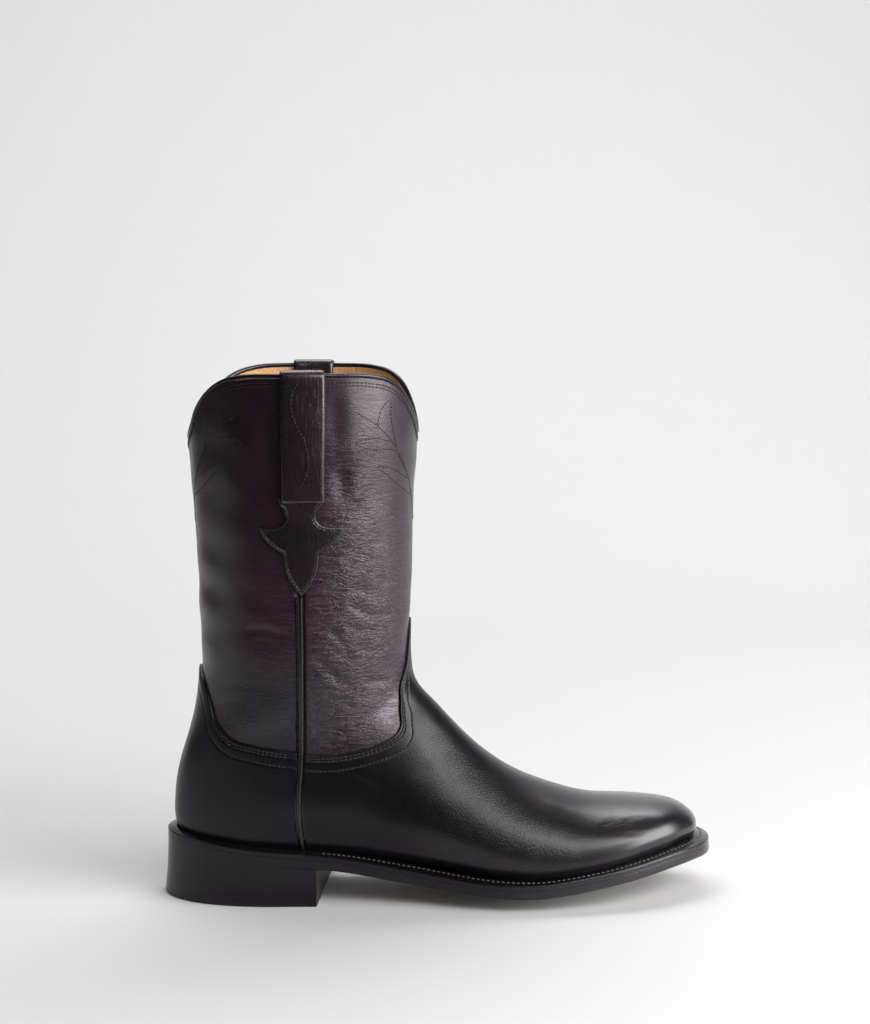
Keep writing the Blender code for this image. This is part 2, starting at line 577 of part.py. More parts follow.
def cut(body, cutter):
    change = body.modifiers.new("cut", "BOOLEAN")
    change.operation = "DIFFERENCE"
    change.object = cutter
    cutter.hide_render = True
    cutter.display_type = "WIRE"
    BOOT.objects.unlink(cutter)
    CUTTERS.objects.link(cutter)


def heel(edge):
    """a block under the outsole, cut off level with the breast and fitted to the sole's underside"""
    flared = edge + PLAN_NORMAL * HEEL_FLARE
    flared[:, 2] = 0
    rim = down(edge, SOLE_STACK)
    high = edge.copy()
    high[:, 2] = BOOT_HEIGHT / 4
    block = loft("heel", "sole_leather", [flared, rim, high])

    rings = [SPINE] + [bed_share(u) for u in BED_SHARES]
    rings += [bed(WELT_REACH), bed(0), edge, edge + PLAN_NORMAL * HEEL_FLARE * 3]
    under = [down(r, SOLE_STACK + GAP) for r in rings]
    above = [np.column_stack([r[:, :2], np.full(COLUMNS, BOOT_HEIGHT / 3)]) for r in rings]
    cut(block, slab("sole_underside", None, above, under))

    half_width = SOLE_LENGTH / 2
    breast = HEEL_DEPTH - HEEL_CENTRE
    skew = BREAST_SLANT / BALL_WIDTH
    corners = [(breast - skew * half_width, -half_width), (breast + skew * half_width, half_width),
               (SOLE_LENGTH, half_width), (SOLE_LENGTH, -half_width)]
    loops = [[(x, y, z) for x, y in corners] for z in (-half_width, half_width)]
    cut(block, loft("breast_cutter", None, loops))


def strap(side, name):
    """a doubled leather pull strap: up the outside, over the collar and down the inside"""
    x = STRAP_PLACE - HEEL_CENTRE + np.linspace(-0.5, 0.5, STRAP_COLUMNS) * STRAP_WIDTH
    turn = find(np.zeros(STRAP_COLUMNS), np.ones(STRAP_COLUMNS), lambda t: last_point(chart_at_height(
        t, side, np.full(STRAP_COLUMNS, BOOT_HEIGHT * 0.9)))[:, 0] - x)

    def shaft(height, depth):
        chart = chart_at_height(turn, side, np.full(STRAP_COLUMNS, height))
        return last_point(chart) - last_normal(chart) * depth

    crest = BOOT_HEIGHT + RIM_RADIUS * 2 + GAP * 2
    near, far = -GAP * 2, WALL + GAP * 2
    back = {}
    for layer, grow in (("under", 0.0), ("top", STRAP_THICK)):
        outer = [shaft(h, near - grow) for h in np.linspace(BOOT_HEIGHT - STRAP_DROP, BOOT_HEIGHT, 7)]
        inner = [shaft(h, far + grow) for h in np.linspace(BOOT_HEIGHT, BOOT_HEIGHT - STRAP_INNER_DROP, 6)]
        middle = (outer[-1] + inner[0]) / 2
        across = outer[-1] - middle
        rise = crest - BOOT_HEIGHT + STRAP_RISE + grow
        arch = [middle + across * np.cos(a) + np.array([0, 0, rise * np.sin(a)])
                for a in np.linspace(0, np.pi, 9)[1:-1]]
        back[layer] = outer + arch + inner
    loops = []
    for k in range(STRAP_COLUMNS):
        loops.append([row[k] for row in back["under"]] + [row[k] for row in back["top"]][::-1])
    return loft(name, "strap_leather", loops)


def spade_tab(side, name):
    """a flat spade-shaped tab under the strap's end, bent to the shaft"""
    top = BOOT_HEIGHT - STRAP_DROP - GAP
    table = np.array(TAB_ROWS)
    across = np.linspace(-1, 1, 5)
    height = np.repeat(top - table[:, 0] * TAB_HEIGHT, len(across))
    x = SEAM_PLACE - HEEL_CENTRE + (table[:, 1, None] * across * TAB_WIDTH / 2).ravel()
    turn = find(np.zeros(len(x)), np.ones(len(x)), lambda t: last_point(chart_at_height(t, side, height))[:, 0] - x)
    chart = chart_at_height(turn, side, height)
    normal = last_normal(chart)
    inside = (last_point(chart) + normal * GAP).reshape(len(table), -1, 3)
    outside = (last_point(chart) + normal * (GAP + TAB_THICK)).reshape(len(table), -1, 3)
    loops = [np.concatenate([a, b[::-1]]) for a, b in zip(inside, outside)]
    return loft(name, "strap_leather", loops)


def side_piping(side, name):
    """a cord along the side seam, from the tab's point down to the welt"""
    column = BACK_COLUMNS + 1
    columns = (column, column + 1) if side < 0 else (COLUMNS - column, COLUMNS - column - 1)

    def middle(chart):
        return chart[list(columns)].mean(0)

    tip = BOOT_HEIGHT - STRAP_DROP - GAP - TAB_HEIGHT - GAP * 2
    way = np.linspace(0, 1, PATH_COUNT)
    height = [last_point(middle(shaft_chart(u)))[2] for u in way]
    end = np.interp(tip, height, way)
    above = [u for u in SHAFT_STEPS if u < end - 0.02] + [end]
    chart = np.array([middle(panel_chart(u)) for u in LOWER_STEPS] + [middle(shaft_chart(u)) for u in above])
    lean = np.array([wall_lean(u) for u in LOWER_STEPS] + [1] * len(above))
    sink = np.array([OVERLAY] * len(LOWER_STEPS) + [float(shaft_sink(u)) for u in above])
    place = last_point(chart) + leather_normal(chart, lean) * (PIPING_RADIUS + GAP * 1.5 - sink)[:, None]
    place[0, 2] = FEATHER_LINE[columns[0], 2]
    curve = bpy.data.curves.new(name, "CURVE")
    curve.dimensions = "3D"
    curve.bevel_depth = PIPING_RADIUS
    curve.bevel_resolution = 1
    curve.use_fill_caps = True
    spline = curve.splines.new("POLY")
    spline.points.add(len(place) - 1)
    for point, at in zip(spline.points, place):
        point.co = (*at, 1)
    curve.materials.append(material("piping_leather"))
    made = bpy.data.objects.new(name, curve)
    BOOT.objects.link(made)


for old in list(bpy.data.objects):
    bpy.data.objects.remove(old)
BOOT = bpy.data.collections.new("roper_boot")
CUTTERS = bpy.data.collections.new("cutters")
bpy.context.scene.collection.children.link(BOOT)
bpy.context.scene.collection.children.link(CUTTERS)

upper()
topline_piping()
heel(sole_layers())
for foot_side, word in ((-1, "outer"), (1, "inner")):
    strap(foot_side, "pull_strap_" + word)
    spade_tab(foot_side, "spade_tab_" + word)
    side_piping(foot_side, "side_piping_" + word)
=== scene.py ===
"""A black roper boot for the right foot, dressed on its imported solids. It follows the boot as it is made:
studio, last, lining, shaft, lower panels, side seams, pull straps and tabs, stitching, then the sole from the
welt down."""

import bmesh
import bpy
import numpy as np
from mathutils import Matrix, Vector


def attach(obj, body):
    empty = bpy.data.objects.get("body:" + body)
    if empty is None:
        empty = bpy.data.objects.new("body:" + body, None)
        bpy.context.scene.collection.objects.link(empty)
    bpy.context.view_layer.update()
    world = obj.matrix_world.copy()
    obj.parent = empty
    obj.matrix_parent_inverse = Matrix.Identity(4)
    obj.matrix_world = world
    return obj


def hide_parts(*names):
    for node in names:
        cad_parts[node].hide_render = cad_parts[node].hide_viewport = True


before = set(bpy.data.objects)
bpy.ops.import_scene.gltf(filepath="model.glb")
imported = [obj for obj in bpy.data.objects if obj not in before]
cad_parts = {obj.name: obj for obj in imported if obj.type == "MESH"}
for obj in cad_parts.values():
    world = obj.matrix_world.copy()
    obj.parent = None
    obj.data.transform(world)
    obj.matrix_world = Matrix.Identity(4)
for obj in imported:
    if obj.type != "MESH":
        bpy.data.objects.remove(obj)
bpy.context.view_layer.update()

# Studio: one seamless sheet of pale paper, swept up behind the boot. The camera stands level with the shaft, a
# good metre off on the outer side, and looks a little down. A big soft box stands to the right, a second above
# and before the toe, and the paper behind is lit on its own, so that its light runs along the boot's edges.
scene = bpy.context.scene
PHOTO_LONG_SIDE = 1024
FOCAL_PIXELS = 2103
LOOK_DOWN = 7.09
lens = bpy.data.cameras.new("camera")
lens.sensor_width = 36
lens.lens = FOCAL_PIXELS / PHOTO_LONG_SIDE * lens.sensor_width
camera = bpy.data.objects.new("camera", lens)
camera.location = (0.1069, -1.127, 0.349)
camera.rotation_euler = (np.radians(90 - LOOK_DOWN), 0, 0)
scene.collection.objects.link(camera)
scene.camera = camera
scene.view_settings.view_transform = "Standard"


def soft_box(name, place, target, width, height, power):
    """a rectangular lamp at a place, turned so that it shines at the target"""
    lamp = bpy.data.lights.new(name, "AREA")
    lamp.shape = "RECTANGLE"
    lamp.size, lamp.size_y, lamp.energy = width, height, power
    made = bpy.data.objects.new(name, lamp)
    made.location = place
    made.rotation_euler = (Vector(target) - Vector(place)).to_track_quat("-Z", "Y").to_euler()
    scene.collection.objects.link(made)


soft_box("key_right", (1.34, -0.64, 0.62), (0.08, 0, 0.20), 1.15, 1.2, 33)
soft_box("top_front", (0.60, -1.05, 1.20), (0.08, -0.05, 0.03), 0.7, 0.7, 6.5)
soft_box("paper_wash", (0.05, 1.25, 2.6), (-0.05, 1.5, 0.0), 3.0, 1.4, 61)

world = bpy.data.worlds.new("studio")
world.use_nodes = True
air = world.node_tree.nodes["Background"].inputs
air["Color"].default_value = (1.0, 0.995, 1.0, 1)
air["Strength"].default_value = 0.03
scene.world = world


def grid_quads(rows, columns, start=0, closed_rows=False, closed_columns=False):
    """quads between the neighbouring rows and columns of a grid of points. Where it closes, the last row or
    column joins the first"""
    index = start + np.arange(rows * columns).reshape(rows, columns)
    if closed_rows:
        index = np.vstack([index, index[:1]])
    if closed_columns:
        index = np.hstack([index, index[:, :1]])
    return np.stack([index[:-1, :-1], index[:-1, 1:], index[1:, 1:], index[1:, :-1]], -1).reshape(-1, 4)


def principled(name, **values):
    """a new material, its node tree and its shader, whose sockets take these values, with _ for a space"""
    made = bpy.data.materials.new(name)
    made.use_nodes = True
    shader = made.node_tree.nodes["Principled BSDF"]
    for key, value in values.items():
        shader.inputs[key.replace("_", " ")].default_value = value
    return made, made.node_tree, shader


def paper_sweep(depth_before=0.24, depth_behind=1.9, bend=1.1, height=3.4, left=-1.0, right=3.2):
    """floor, quarter-circle bend and wall: one profile in Y and Z carried along X"""
    turn = np.linspace(0, np.pi / 2, 33)
    y = np.concatenate([[-depth_before, -0.2, 0, depth_behind - bend], depth_behind - bend + bend * np.sin(turn),
                        [depth_behind]])
    z = np.concatenate([[0, 0, 0, 0], bend - bend * np.cos(turn), [height]])
    x = np.linspace(left, right, 3)
    points = np.stack(np.broadcast_arrays(x[None, :], y[:, None], z[:, None]), -1)
    mesh = bpy.data.meshes.new("paper")
    mesh.from_pydata(points.reshape(-1, 3), [], grid_quads(*points.shape[:2]))
    mesh.shade_smooth()
    made = bpy.data.objects.new("paper", mesh)
    scene.collection.objects.link(made)
    return made


paper = paper_sweep()
card = principled("pale_paper", Base_Color=(0.74, 0.735, 0.74, 1), Roughness=0.9, Specular_IOR_Level=0.1)[0]
paper.data.materials.append(card)

# The last: the wooden form that the leather is pulled over, and so the boot's own outside: a fan of sections
# that turns from the toe over the instep to the collar. A flat chart maps it: the distance from its middle
# runs from toe to collar, the angle from the sole or the back to the front ridge.
SOLE_LENGTH = 0.300
BOOT_HEIGHT = 0.284
BALL_WIDTH = 0.093
HEEL_CENTRE = 0.041
SOLE_STACK = 0.008
LAST_HEIGHT = BOOT_HEIGHT - SOLE_STACK
SEAM_X = 0.0785 - HEEL_CENTRE
# top x, top z, low x, low z, outer and inner half width, centre, four fullness values, two rise values: places
# along x in per cent of the sole's length, heights of the last's height, widths of the ball's width
LAST_ROWS = (
    (97.57, 9.35, 97.57, 9.35, 0.0, 0.0, 11.8, 0.66, 1.25, 1.25, 0.66, 0.25, 0.75),
    (97.40, 10.62, 97.32, 8.24, 8.6, 8.6, 11.8, 0.70, 1.25, 1.25, 0.66, 0.23, 0.75),
    (96.68, 11.75, 96.60, 7.50, 15.1, 15.1, 11.3, 0.78, 1.24, 1.22, 0.66, 0.20, 0.75),
    (95.22, 13.03, 95.05, 6.76, 21.0, 21.0, 10.8, 0.84, 1.24, 1.20, 0.64, 0.18, 0.75),
    (92.55, 14.30, 92.20, 5.72, 29.0, 28.5, 9.7, 0.88, 1.24, 1.19, 0.62, 0.16, 0.75),
    (88.30, 15.02, 87.75, 4.06, 36.6, 35.5, 8.4, 0.92, 1.24, 1.17, 0.60, 0.15, 0.76),
    (83.20, 15.34, 81.85, 1.74, 42.5, 43.5, 7.3, 1.00, 1.23, 1.13, 0.58, 0.14, 0.77),
    (77.33, 15.72, 75.33, 0.10, 46.7, 49.2, 5.9, 1.03, 1.23, 1.08, 0.54, 0.14, 0.79),
    (71.67, 17.46, 68.00, -0.60, 49.3, 51.0, 3.8, 1.06, 1.23, 1.04, 0.50, 0.14, 0.80),
    (66.00, 20.04, 60.00, 0.00, 49.0, 48.6, 1.1, 1.02, 1.24, 1.02, 0.46, 0.15, 0.80),
    (60.67, 23.48, 50.67, 2.20, 45.7, 43.0, -1.6, 0.92, 1.25, 1.03, 0.44, 0.17, 0.80),
    (56.00, 27.61, 39.33, 3.80, 42.8, 38.6, -2.0, 0.84, 1.24, 1.08, 0.44, 0.19, 0.79),
    (51.83, 32.17, 27.50, 4.30, 41.2, 39.0, -1.1, 0.84, 1.21, 1.14, 0.48, 0.21, 0.78),
    (48.67, 35.72, 16.80, 3.90, 41.2, 40.3, -0.4, 0.89, 1.17, 1.20, 0.52, 0.23, 0.77),
    (46.23, 38.62, 8.60, 4.30, 41.4, 40.9, 0.0, 0.84, 1.12, 1.25, 0.56, 0.24, 0.76),
    (45.27, 41.09, 3.60, 7.20, 41.7, 41.4, 0.0, 0.73, 1.08, 1.28, 0.60, 0.25, 0.75),
    (45.07, 43.48, 1.85, 11.70, 42.2, 41.9, 0.0, 0.65, 1.07, 1.30, 0.62, 0.26, 0.75),
    (44.93, 46.01, 1.85, 17.39, 42.8, 42.6, 0.0, 0.60, 1.10, 1.31, 0.63, 0.26, 0.75),
    (44.93, 48.91, 2.83, 23.19, 43.7, 43.4, 0.0, 0.57, 1.16, 1.31, 0.63, 0.26, 0.75),
    (45.00, 52.54, 4.83, 30.43, 44.9, 44.7, 0.0, 0.58, 1.22, 1.30, 0.63, 0.25, 0.75),
    (45.07, 57.25, 6.40, 39.86, 46.8, 46.8, 0.0, 0.60, 1.27, 1.29, 0.63, 0.25, 0.75),
    (45.17, 63.04, 6.80, 53.26, 49.5, 49.5, 0.0, 0.62, 1.28, 1.28, 0.63, 0.25, 0.75),
    (45.33, 71.38, 6.30, 67.75, 53.2, 53.2, 0.0, 0.63, 1.28, 1.28, 0.63, 0.25, 0.75),
    (45.80, 81.16, 5.57, 80.43, 56.5, 56.5, 0.0, 0.63, 1.28, 1.28, 0.63, 0.25, 0.75),
    (46.67, 92.03, 4.80, 92.03, 58.6, 58.6, 0.0, 0.63, 1.28, 1.28, 0.63, 0.25, 0.75),
    (47.00, 103.62, 4.33, 103.62, 59.7, 59.7, 0.0, 0.63, 1.28, 1.28, 0.63, 0.25, 0.75),
)
# where the upper meets the welt, then the top edges of vamp and collar by the share of the way round behind
FEATHER = ((0, 11.0), (8.3, 9.95), (17.3, 8.7), (25, 8.05), (33.3, 7.25), (44, 5.58), (53.7, 4.0), (63.3, 3.04),
           (68, 2.97), (74.3, 3.7), (81, 4.78), (86.3, 5.9), (92.2, 7.2), (95, 7.7), (98, 8.1))
VAMP_LINE = ((0, 42.6), (0.04, 41.9), (0.08, 41.2), (0.126, 39.7), (0.182, 36.8), (0.22, 34.1), (0.27, 31.9),
             (0.327, 30.0), (0.396, 29.0), (0.453, 28.4), (0.516, 27.8), (0.553, 27.2), (0.597, 27.3),
             (0.635, 28.0), (0.679, 29.2), (0.736, 31.2), (0.775, 33.2), (0.80, 34.9), (0.83, 36.9),
             (0.855, 39.2), (0.885, 41.2), (0.912, 42.9), (0.962, 47.6), (1, 52.0))
COLLAR_LINE = ((0, 86.8), (0.03, 87.1), (0.06, 88.0), (0.119, 90.2), (0.164, 93.2), (0.22, 96.2), (0.283, 98.6),
               (0.34, 99.6), (0.459, 100), (0.579, 100), (0.70, 99.8), (0.76, 99.0), (0.811, 97.3),
               (0.881, 93.2), (0.94, 89.8), (0.97, 88.6), (1, 88.2))
# how far the columns of leather bow backwards under the vamp line and above it, as shares of the seam's own bow
PANEL_BOW = ((0, 0), (0.3, 0), (0.39, 0.35), (0.454, 0.68), (0.53, 1), (0.65, 1.17), (0.70, 1.1),
             (0.754, 0.85), (0.80, 0.5), (0.86, 0.2), (0.93, 0.04), (1, 0))
SHAFT_BOW = ((0, 0), (0.25, 0.6), (0.52, 1), (0.76, 0.6), (1, 0))
# the side seam's sway: height and how far it lies before or behind SEAM_X, in millimetres
SEAM_SWAY = ((25, -1.5), (36, -2.0), (44, -2.6), (53, -3.1), (59, -3.1), (66, -2.8), (74, -2.1), (84, -1.7),
             (100, -1.4), (118, -1.15), (137, -0.95), (156, -0.9), (176, -0.8), (197, -0.5), (217, -0.2),
             (238, 0.1), (260, 0.35), (290, 0.6))


def table_value(table, place):
    """a two-column table read at a place, smoothed by a cubic through its rows"""
    at, value = np.array(table, float).T
    slope = np.gradient(value, at)
    i = np.clip(np.searchsorted(at, place, side="right") - 1, 0, len(at) - 2)
    step = at[i + 1] - at[i]
    u = np.clip((place - at[i]) / step, 0, 1)
    return (value[i] * (1 + 2 * u) * (1 - u) ** 2 + value[i + 1] * u * u * (3 - 2 * u)
            + step * u * (1 - u) * (slope[i] * (1 - u) - slope[i + 1] * u))


def ramp(value, start, width):
    """0 up to start, 1 from a width beyond it and straight between. A negative width runs the other way"""
    return np.clip((value - start) / width, 0, 1)


def eased(share):
    """a share from 0 to 1 with level ends: three times its square less twice its cube"""
    return share * share * (3 - 2 * share)


def way_along(line):
    """the length covered at each point of a line"""
    return np.concatenate([[0], np.cumsum(np.linalg.norm(np.diff(line, axis=0), axis=1))])


def read_along(at, way, values):
    """each column of values, known at these ways, read in straight steps at other places"""
    return np.stack([np.interp(at, way, column) for column in values.T], -1)


def evenly(line, count):
    """a line of that many points, evenly spaced along a given one"""
    way = way_along(line)
    return read_along(np.linspace(0, way[-1], count), way, line)


def unit(vector):
    return vector / np.linalg.norm(vector, axis=-1, keepdims=True)


def seam_x(height):
    """the side seam's place along the boot at these heights"""
    return SEAM_X + table_value(SEAM_SWAY, height * 1000) / 1000


def last_sections():
    """the rows in metres against their way along the fan, led on through the toe's pole with its sides
    swapped"""
    rows = np.array(LAST_ROWS, float)
    rows[:, [0, 2]] = rows[:, [0, 2]] / 100 * SOLE_LENGTH - HEEL_CENTRE
    rows[:, [1, 3]] = SOLE_STACK + rows[:, [1, 3]] / 100 * LAST_HEIGHT
    rows[:, [4, 5, 6]] *= BALL_WIDTH / 100
    step = np.abs(np.diff(rows[:, :6], axis=0))
    travel = (np.hypot(step[:, 0], step[:, 1]) + np.hypot(step[:, 2], step[:, 3]) + step[:, 4] + step[:, 5]) / 4
    way = np.concatenate([[0], np.cumsum(travel)])
    far = rows[3:0:-1].copy()
    far[:, :4] = far[:, [2, 3, 0, 1]]
    far[:, 4:6] *= -1
    return np.concatenate([-way[3:0:-1], way]), np.concatenate([far, rows])


def spline_bend(at, value):
    """second derivatives of the natural cubic spline through the sections"""
    step = np.diff(at)
    inner = np.arange(1, len(at) - 1)
    matrix = np.eye(len(at))
    matrix[inner, inner - 1], matrix[inner, inner + 1] = step[:-1], step[1:]
    matrix[inner, inner] = 2 * (step[:-1] + step[1:])
    right = np.zeros_like(value)
    rise = np.diff(value, axis=0) / step[:, None]
    right[inner] = 6 * np.diff(rise, axis=0)
    return np.linalg.solve(matrix, right)


ALONG, SECTIONS = last_sections()
BEND = spline_bend(ALONG, SECTIONS)
WHOLE_WAY = ALONG[-1]


def last_point(chart):
    """a point of the last from its chart point: the spline gives the section, and a Bezier curve of degree
    five, from the sole's or back's middle line to the front ridge, gives the place on it"""
    x, y = chart[..., 0], chart[..., 1]
    turn = np.arctan2(np.abs(y), x) / np.pi
    reach = np.hypot(x, y)
    i = np.clip(np.searchsorted(ALONG, reach, side="right") - 1, 0, len(ALONG) - 2)
    step = ALONG[i + 1] - ALONG[i]
    a = ((ALONG[i + 1] - reach) / step)[..., None]
    b = 1 - a
    row = (a * SECTIONS[i] + b * SECTIONS[i + 1]
           + ((a ** 3 - a) * BEND[i] + (b ** 3 - b) * BEND[i + 1]) * (step * step)[..., None] / 6)
    top_x, top_z, low_x, low_z, outer, inner, centre, w1, w2, w3, w4, a2, a3 = np.moveaxis(row, -1, 0)
    u = 1 - turn
    b1, b2, b3, b4, b5 = (5 * turn * u ** 4, 10 * turn ** 2 * u ** 3, 10 * turn ** 3 * u ** 2, 5 * turn ** 4 * u,
                          turn ** 5)
    up = a2 * b2 + a3 * b3 + b4 + b5
    wide = w1 * b1 + w2 * b2 + w3 * b3 + w4 * b4
    half = np.where(y < 0, -outer, inner)
    return np.stack([low_x + up * (top_x - low_x), centre + half * wide, low_z + up * (top_z - low_z)], -1)


def last_normal(chart):
    """unit normal out of the last: the cross product of two small steps on the chart"""
    dx, dy = np.array([0.0004, 0]), np.array([0, 0.0004])
    return unit(np.cross(last_point(chart + dx) - last_point(chart - dx),
                         last_point(chart + dy) - last_point(chart - dy)))


def percent_x(x):
    return (x + HEEL_CENTRE) / SOLE_LENGTH * 100


def feather_height(x):
    return SOLE_STACK + table_value(FEATHER, percent_x(x)) / 100 * LAST_HEIGHT


def find(low, high, value):
    """where a rising function of an array crosses zero between low and high, by halving"""
    for _ in range(26):
        middle = (low + high) / 2
        below = value(middle) < 0
        low, high = np.where(below, middle, low), np.where(below, high, middle)
    return (low + high) / 2


def chart_at_height(turn, side, height):
    """chart points on the shaft at these angles (0 back, 1 front ridge) and heights"""
    direction = np.stack([np.cos(np.pi * turn), side * np.sin(np.pi * turn)], -1)
    reach = find(np.full(turn.shape, WHOLE_WAY * 0.45), np.full(turn.shape, WHOLE_WAY),
                 lambda r: last_point(direction * r[..., None])[..., 2] - height)
    return direction * reach[..., None]


def shaft_chart_at(side, x, height):
    """chart points on one side of the shaft at these lengths and heights"""
    turn = find(np.zeros(x.shape), np.ones(x.shape),
                lambda t: last_point(chart_at_height(t, side, height))[..., 0] - x)
    return chart_at_height(turn, side, height)


# the rays that find the feather line start on the chart's middle line, this share of the way from toe to collar
UNDER_HEEL = 0.42


def feather_half(side, count=900):
    """chart points of the feather line from the back of the heel to the toe, on one side"""
    start = np.array([WHOLE_WAY * UNDER_HEEL, 0.0])
    ray = np.linspace(0, np.pi, count)
    direction = np.stack([np.cos(ray), side * np.sin(ray)], -1)

    def above(r):
        point = last_point(start + direction * r[:, None])
        return point[:, 2] - feather_height(point[:, 0])

    return start + direction * find(np.zeros(count), np.full(count, WHOLE_WAY * 0.5), above)[:, None]


# Columns of leather run from the feather line to the vamp line and on to the collar. Each side has shares of
# the way behind the seam, then steps across it in metres, then shares of the way before it.
BEHIND = np.linspace(0, 1, 58, endpoint=False)
STEPS = np.array([3.4, 2.9, 2.5, 2.2, 2.0, 1.85, 1.75, 1.7, 1.35, 0.9, 0.45]) / 1000
ACROSS = np.concatenate([STEPS, [0], -STEPS[::-1]])
BEFORE = np.linspace(0, 1, 129)[1:]
SIDE_COLUMNS = len(BEHIND) + len(ACROSS) + len(BEFORE)
TURN_WEIGHT = 0.3 * BALL_WIDTH


def side_columns(side):
    """chart points of one side's columns at the feather line, the vamp line and the collar. Along the feather
    line they crowd where it turns sharply"""
    chart = feather_half(side)
    place = last_point(chart)
    step = np.diff(place[:, :2], axis=0)
    heading = np.unwrap(np.arctan2(step[:, 1], step[:, 0]))
    turning = np.convolve(np.abs(np.concatenate([[0], np.diff(heading)])), np.ones(11) / 11, "same")
    measure = np.concatenate([[0], np.cumsum(np.hypot(*step.T) + TURN_WEIGHT * turning)])
    seam = np.interp(seam_x(feather_height(SEAM_X)) - ACROSS, np.maximum.accumulate(place[:, 0]), measure)
    marks = np.concatenate([seam[0] * BEHIND, seam, seam[-1] + (measure[-1] - seam[-1]) * BEFORE])
    feather = read_along(marks, measure, chart)

    def upper_line(line, ease):
        def at(turn):
            return chart_at_height(turn, side, SOLE_STACK + LAST_HEIGHT * table_value(line, turn) / 100)

        def before_seam(turn):
            place = last_point(at(turn))
            return place[:, 0] - (seam_x(place[:, 2]) - ACROSS)

        seam_turn = find(np.zeros(len(ACROSS)), np.ones(len(ACROSS)), before_seam)
        before = 1 - (1 - seam_turn[-1]) * ease(1 - BEFORE)
        return at(np.concatenate([seam_turn[0] * ease(BEHIND), seam_turn, before]))

    return feather, upper_line(VAMP_LINE, lambda u: u), upper_line(COLLAR_LINE, lambda u: u * (0.62 + 0.38 * u))


def whole_loop(outer, inner):
    """one array round the boot: back of the heel, outer side, toe, inner side"""
    return np.concatenate([outer, inner[-2:0:-1]])


FEATHER_CHART, VAMP_CHART, COLLAR_CHART = (whole_loop(o, i) for o, i in zip(side_columns(-1), side_columns(1)))
COLUMNS = len(FEATHER_CHART)
SEAM_START, SEAM_END = len(BEHIND), len(BEHIND) + len(ACROSS)
SEAM_MIDDLE = SEAM_START + len(ACROSS) // 2


def seam_bow(start, end):
    """the bow that keeps the middle of the seam's path upright over its ends"""
    ends = np.stack([start[SEAM_MIDDLE], end[SEAM_MIDDLE]])
    chord = ends[1] - ends[0]
    aside = np.array([-chord[1], chord[0]])
    upright = last_point(ends)[:, 0].mean()
    return float(find(np.array(-0.3), np.array(0.3),
                      lambda b: upright - last_point(ends.mean(0) + aside * b)[0]))


def moved(chart, along, step=0.0003):
    """chart points moved a distance along X at their own height: one Newton step with the chart's slopes"""
    here = last_point(chart)
    a, b = ((last_point(chart + np.array(d)) - here)[..., [0, 2]] / step for d in ((step, 0), (0, step)))
    turn = a[..., 0] * b[..., 1] - a[..., 1] * b[..., 0]
    turn = np.where(np.abs(turn) < 0.05, np.inf, turn)
    return chart + np.stack([b[..., 1] * along / turn, -a[..., 1] * along / turn], -1)


def laid_straight(path):
    """paths near each side seam, moved with the seam's own column until it lies on its measured line"""
    side = np.where(np.arange(path.shape[1]) < SIDE_COLUMNS, SEAM_MIDDLE, path.shape[1] - SEAM_MIDDLE)
    for _ in range(3):
        place = last_point(path)
        own = place[:, side]
        share = ramp(np.abs(place[..., 0] - own[..., 0]), 0.024, -0.018) * (own[..., 1] * place[..., 1] > 0)
        path = moved(path, (seam_x(own[..., 2]) - own[..., 0]) * eased(share))
    return path


def column_paths(start, end, bow_table, count=91):
    """chart paths from start to end, bowed aside by a share of their chord, with the length covered at each
    point"""
    chord = end - start
    bow = seam_bow(start, end) * table_value(bow_table, VAMP_TURN)
    square = np.stack([chord[:, 1], -chord[:, 0]], -1) * (bow * np.sign(start[:, 1] - 1e-9))[:, None]
    way = np.linspace(0, 1, count)[:, None, None]
    path = laid_straight(start + chord * way + square * 4 * way * (1 - way))
    step = np.linalg.norm(np.diff(last_point(path), axis=0), axis=-1)
    return path, np.concatenate([np.zeros((1, len(start))), np.cumsum(step, 0)])


VAMP_TURN = np.arctan2(np.abs(VAMP_CHART[:, 1]), VAMP_CHART[:, 0]) / np.pi
PANEL_PATHS = column_paths(FEATHER_CHART, VAMP_CHART, PANEL_BOW)
SHAFT_PATHS = column_paths(VAMP_CHART, COLLAR_CHART, SHAFT_BOW)


def chart_along(paths, length, columns=slice(None)):
    """chart points at these lengths [row, column] along the columns, straight between the paths' points"""
    path, travel = (part[:, columns] for part in paths)
    length = np.broadcast_to(length, (len(length), path.shape[1]))
    low = np.clip((travel[:, None] <= length[None]).sum(0) - 1, 0, len(travel) - 2)
    column = np.arange(path.shape[1])[None]
    start, end = travel[low, column], travel[low + 1, column]
    share = ((length - start) / (end - start))[..., None]
    return path[low, column] * (1 - share) + path[low + 1, column] * share


PANEL_LENGTH, SHAFT_LENGTH = PANEL_PATHS[1][-1], SHAFT_PATHS[1][-1]


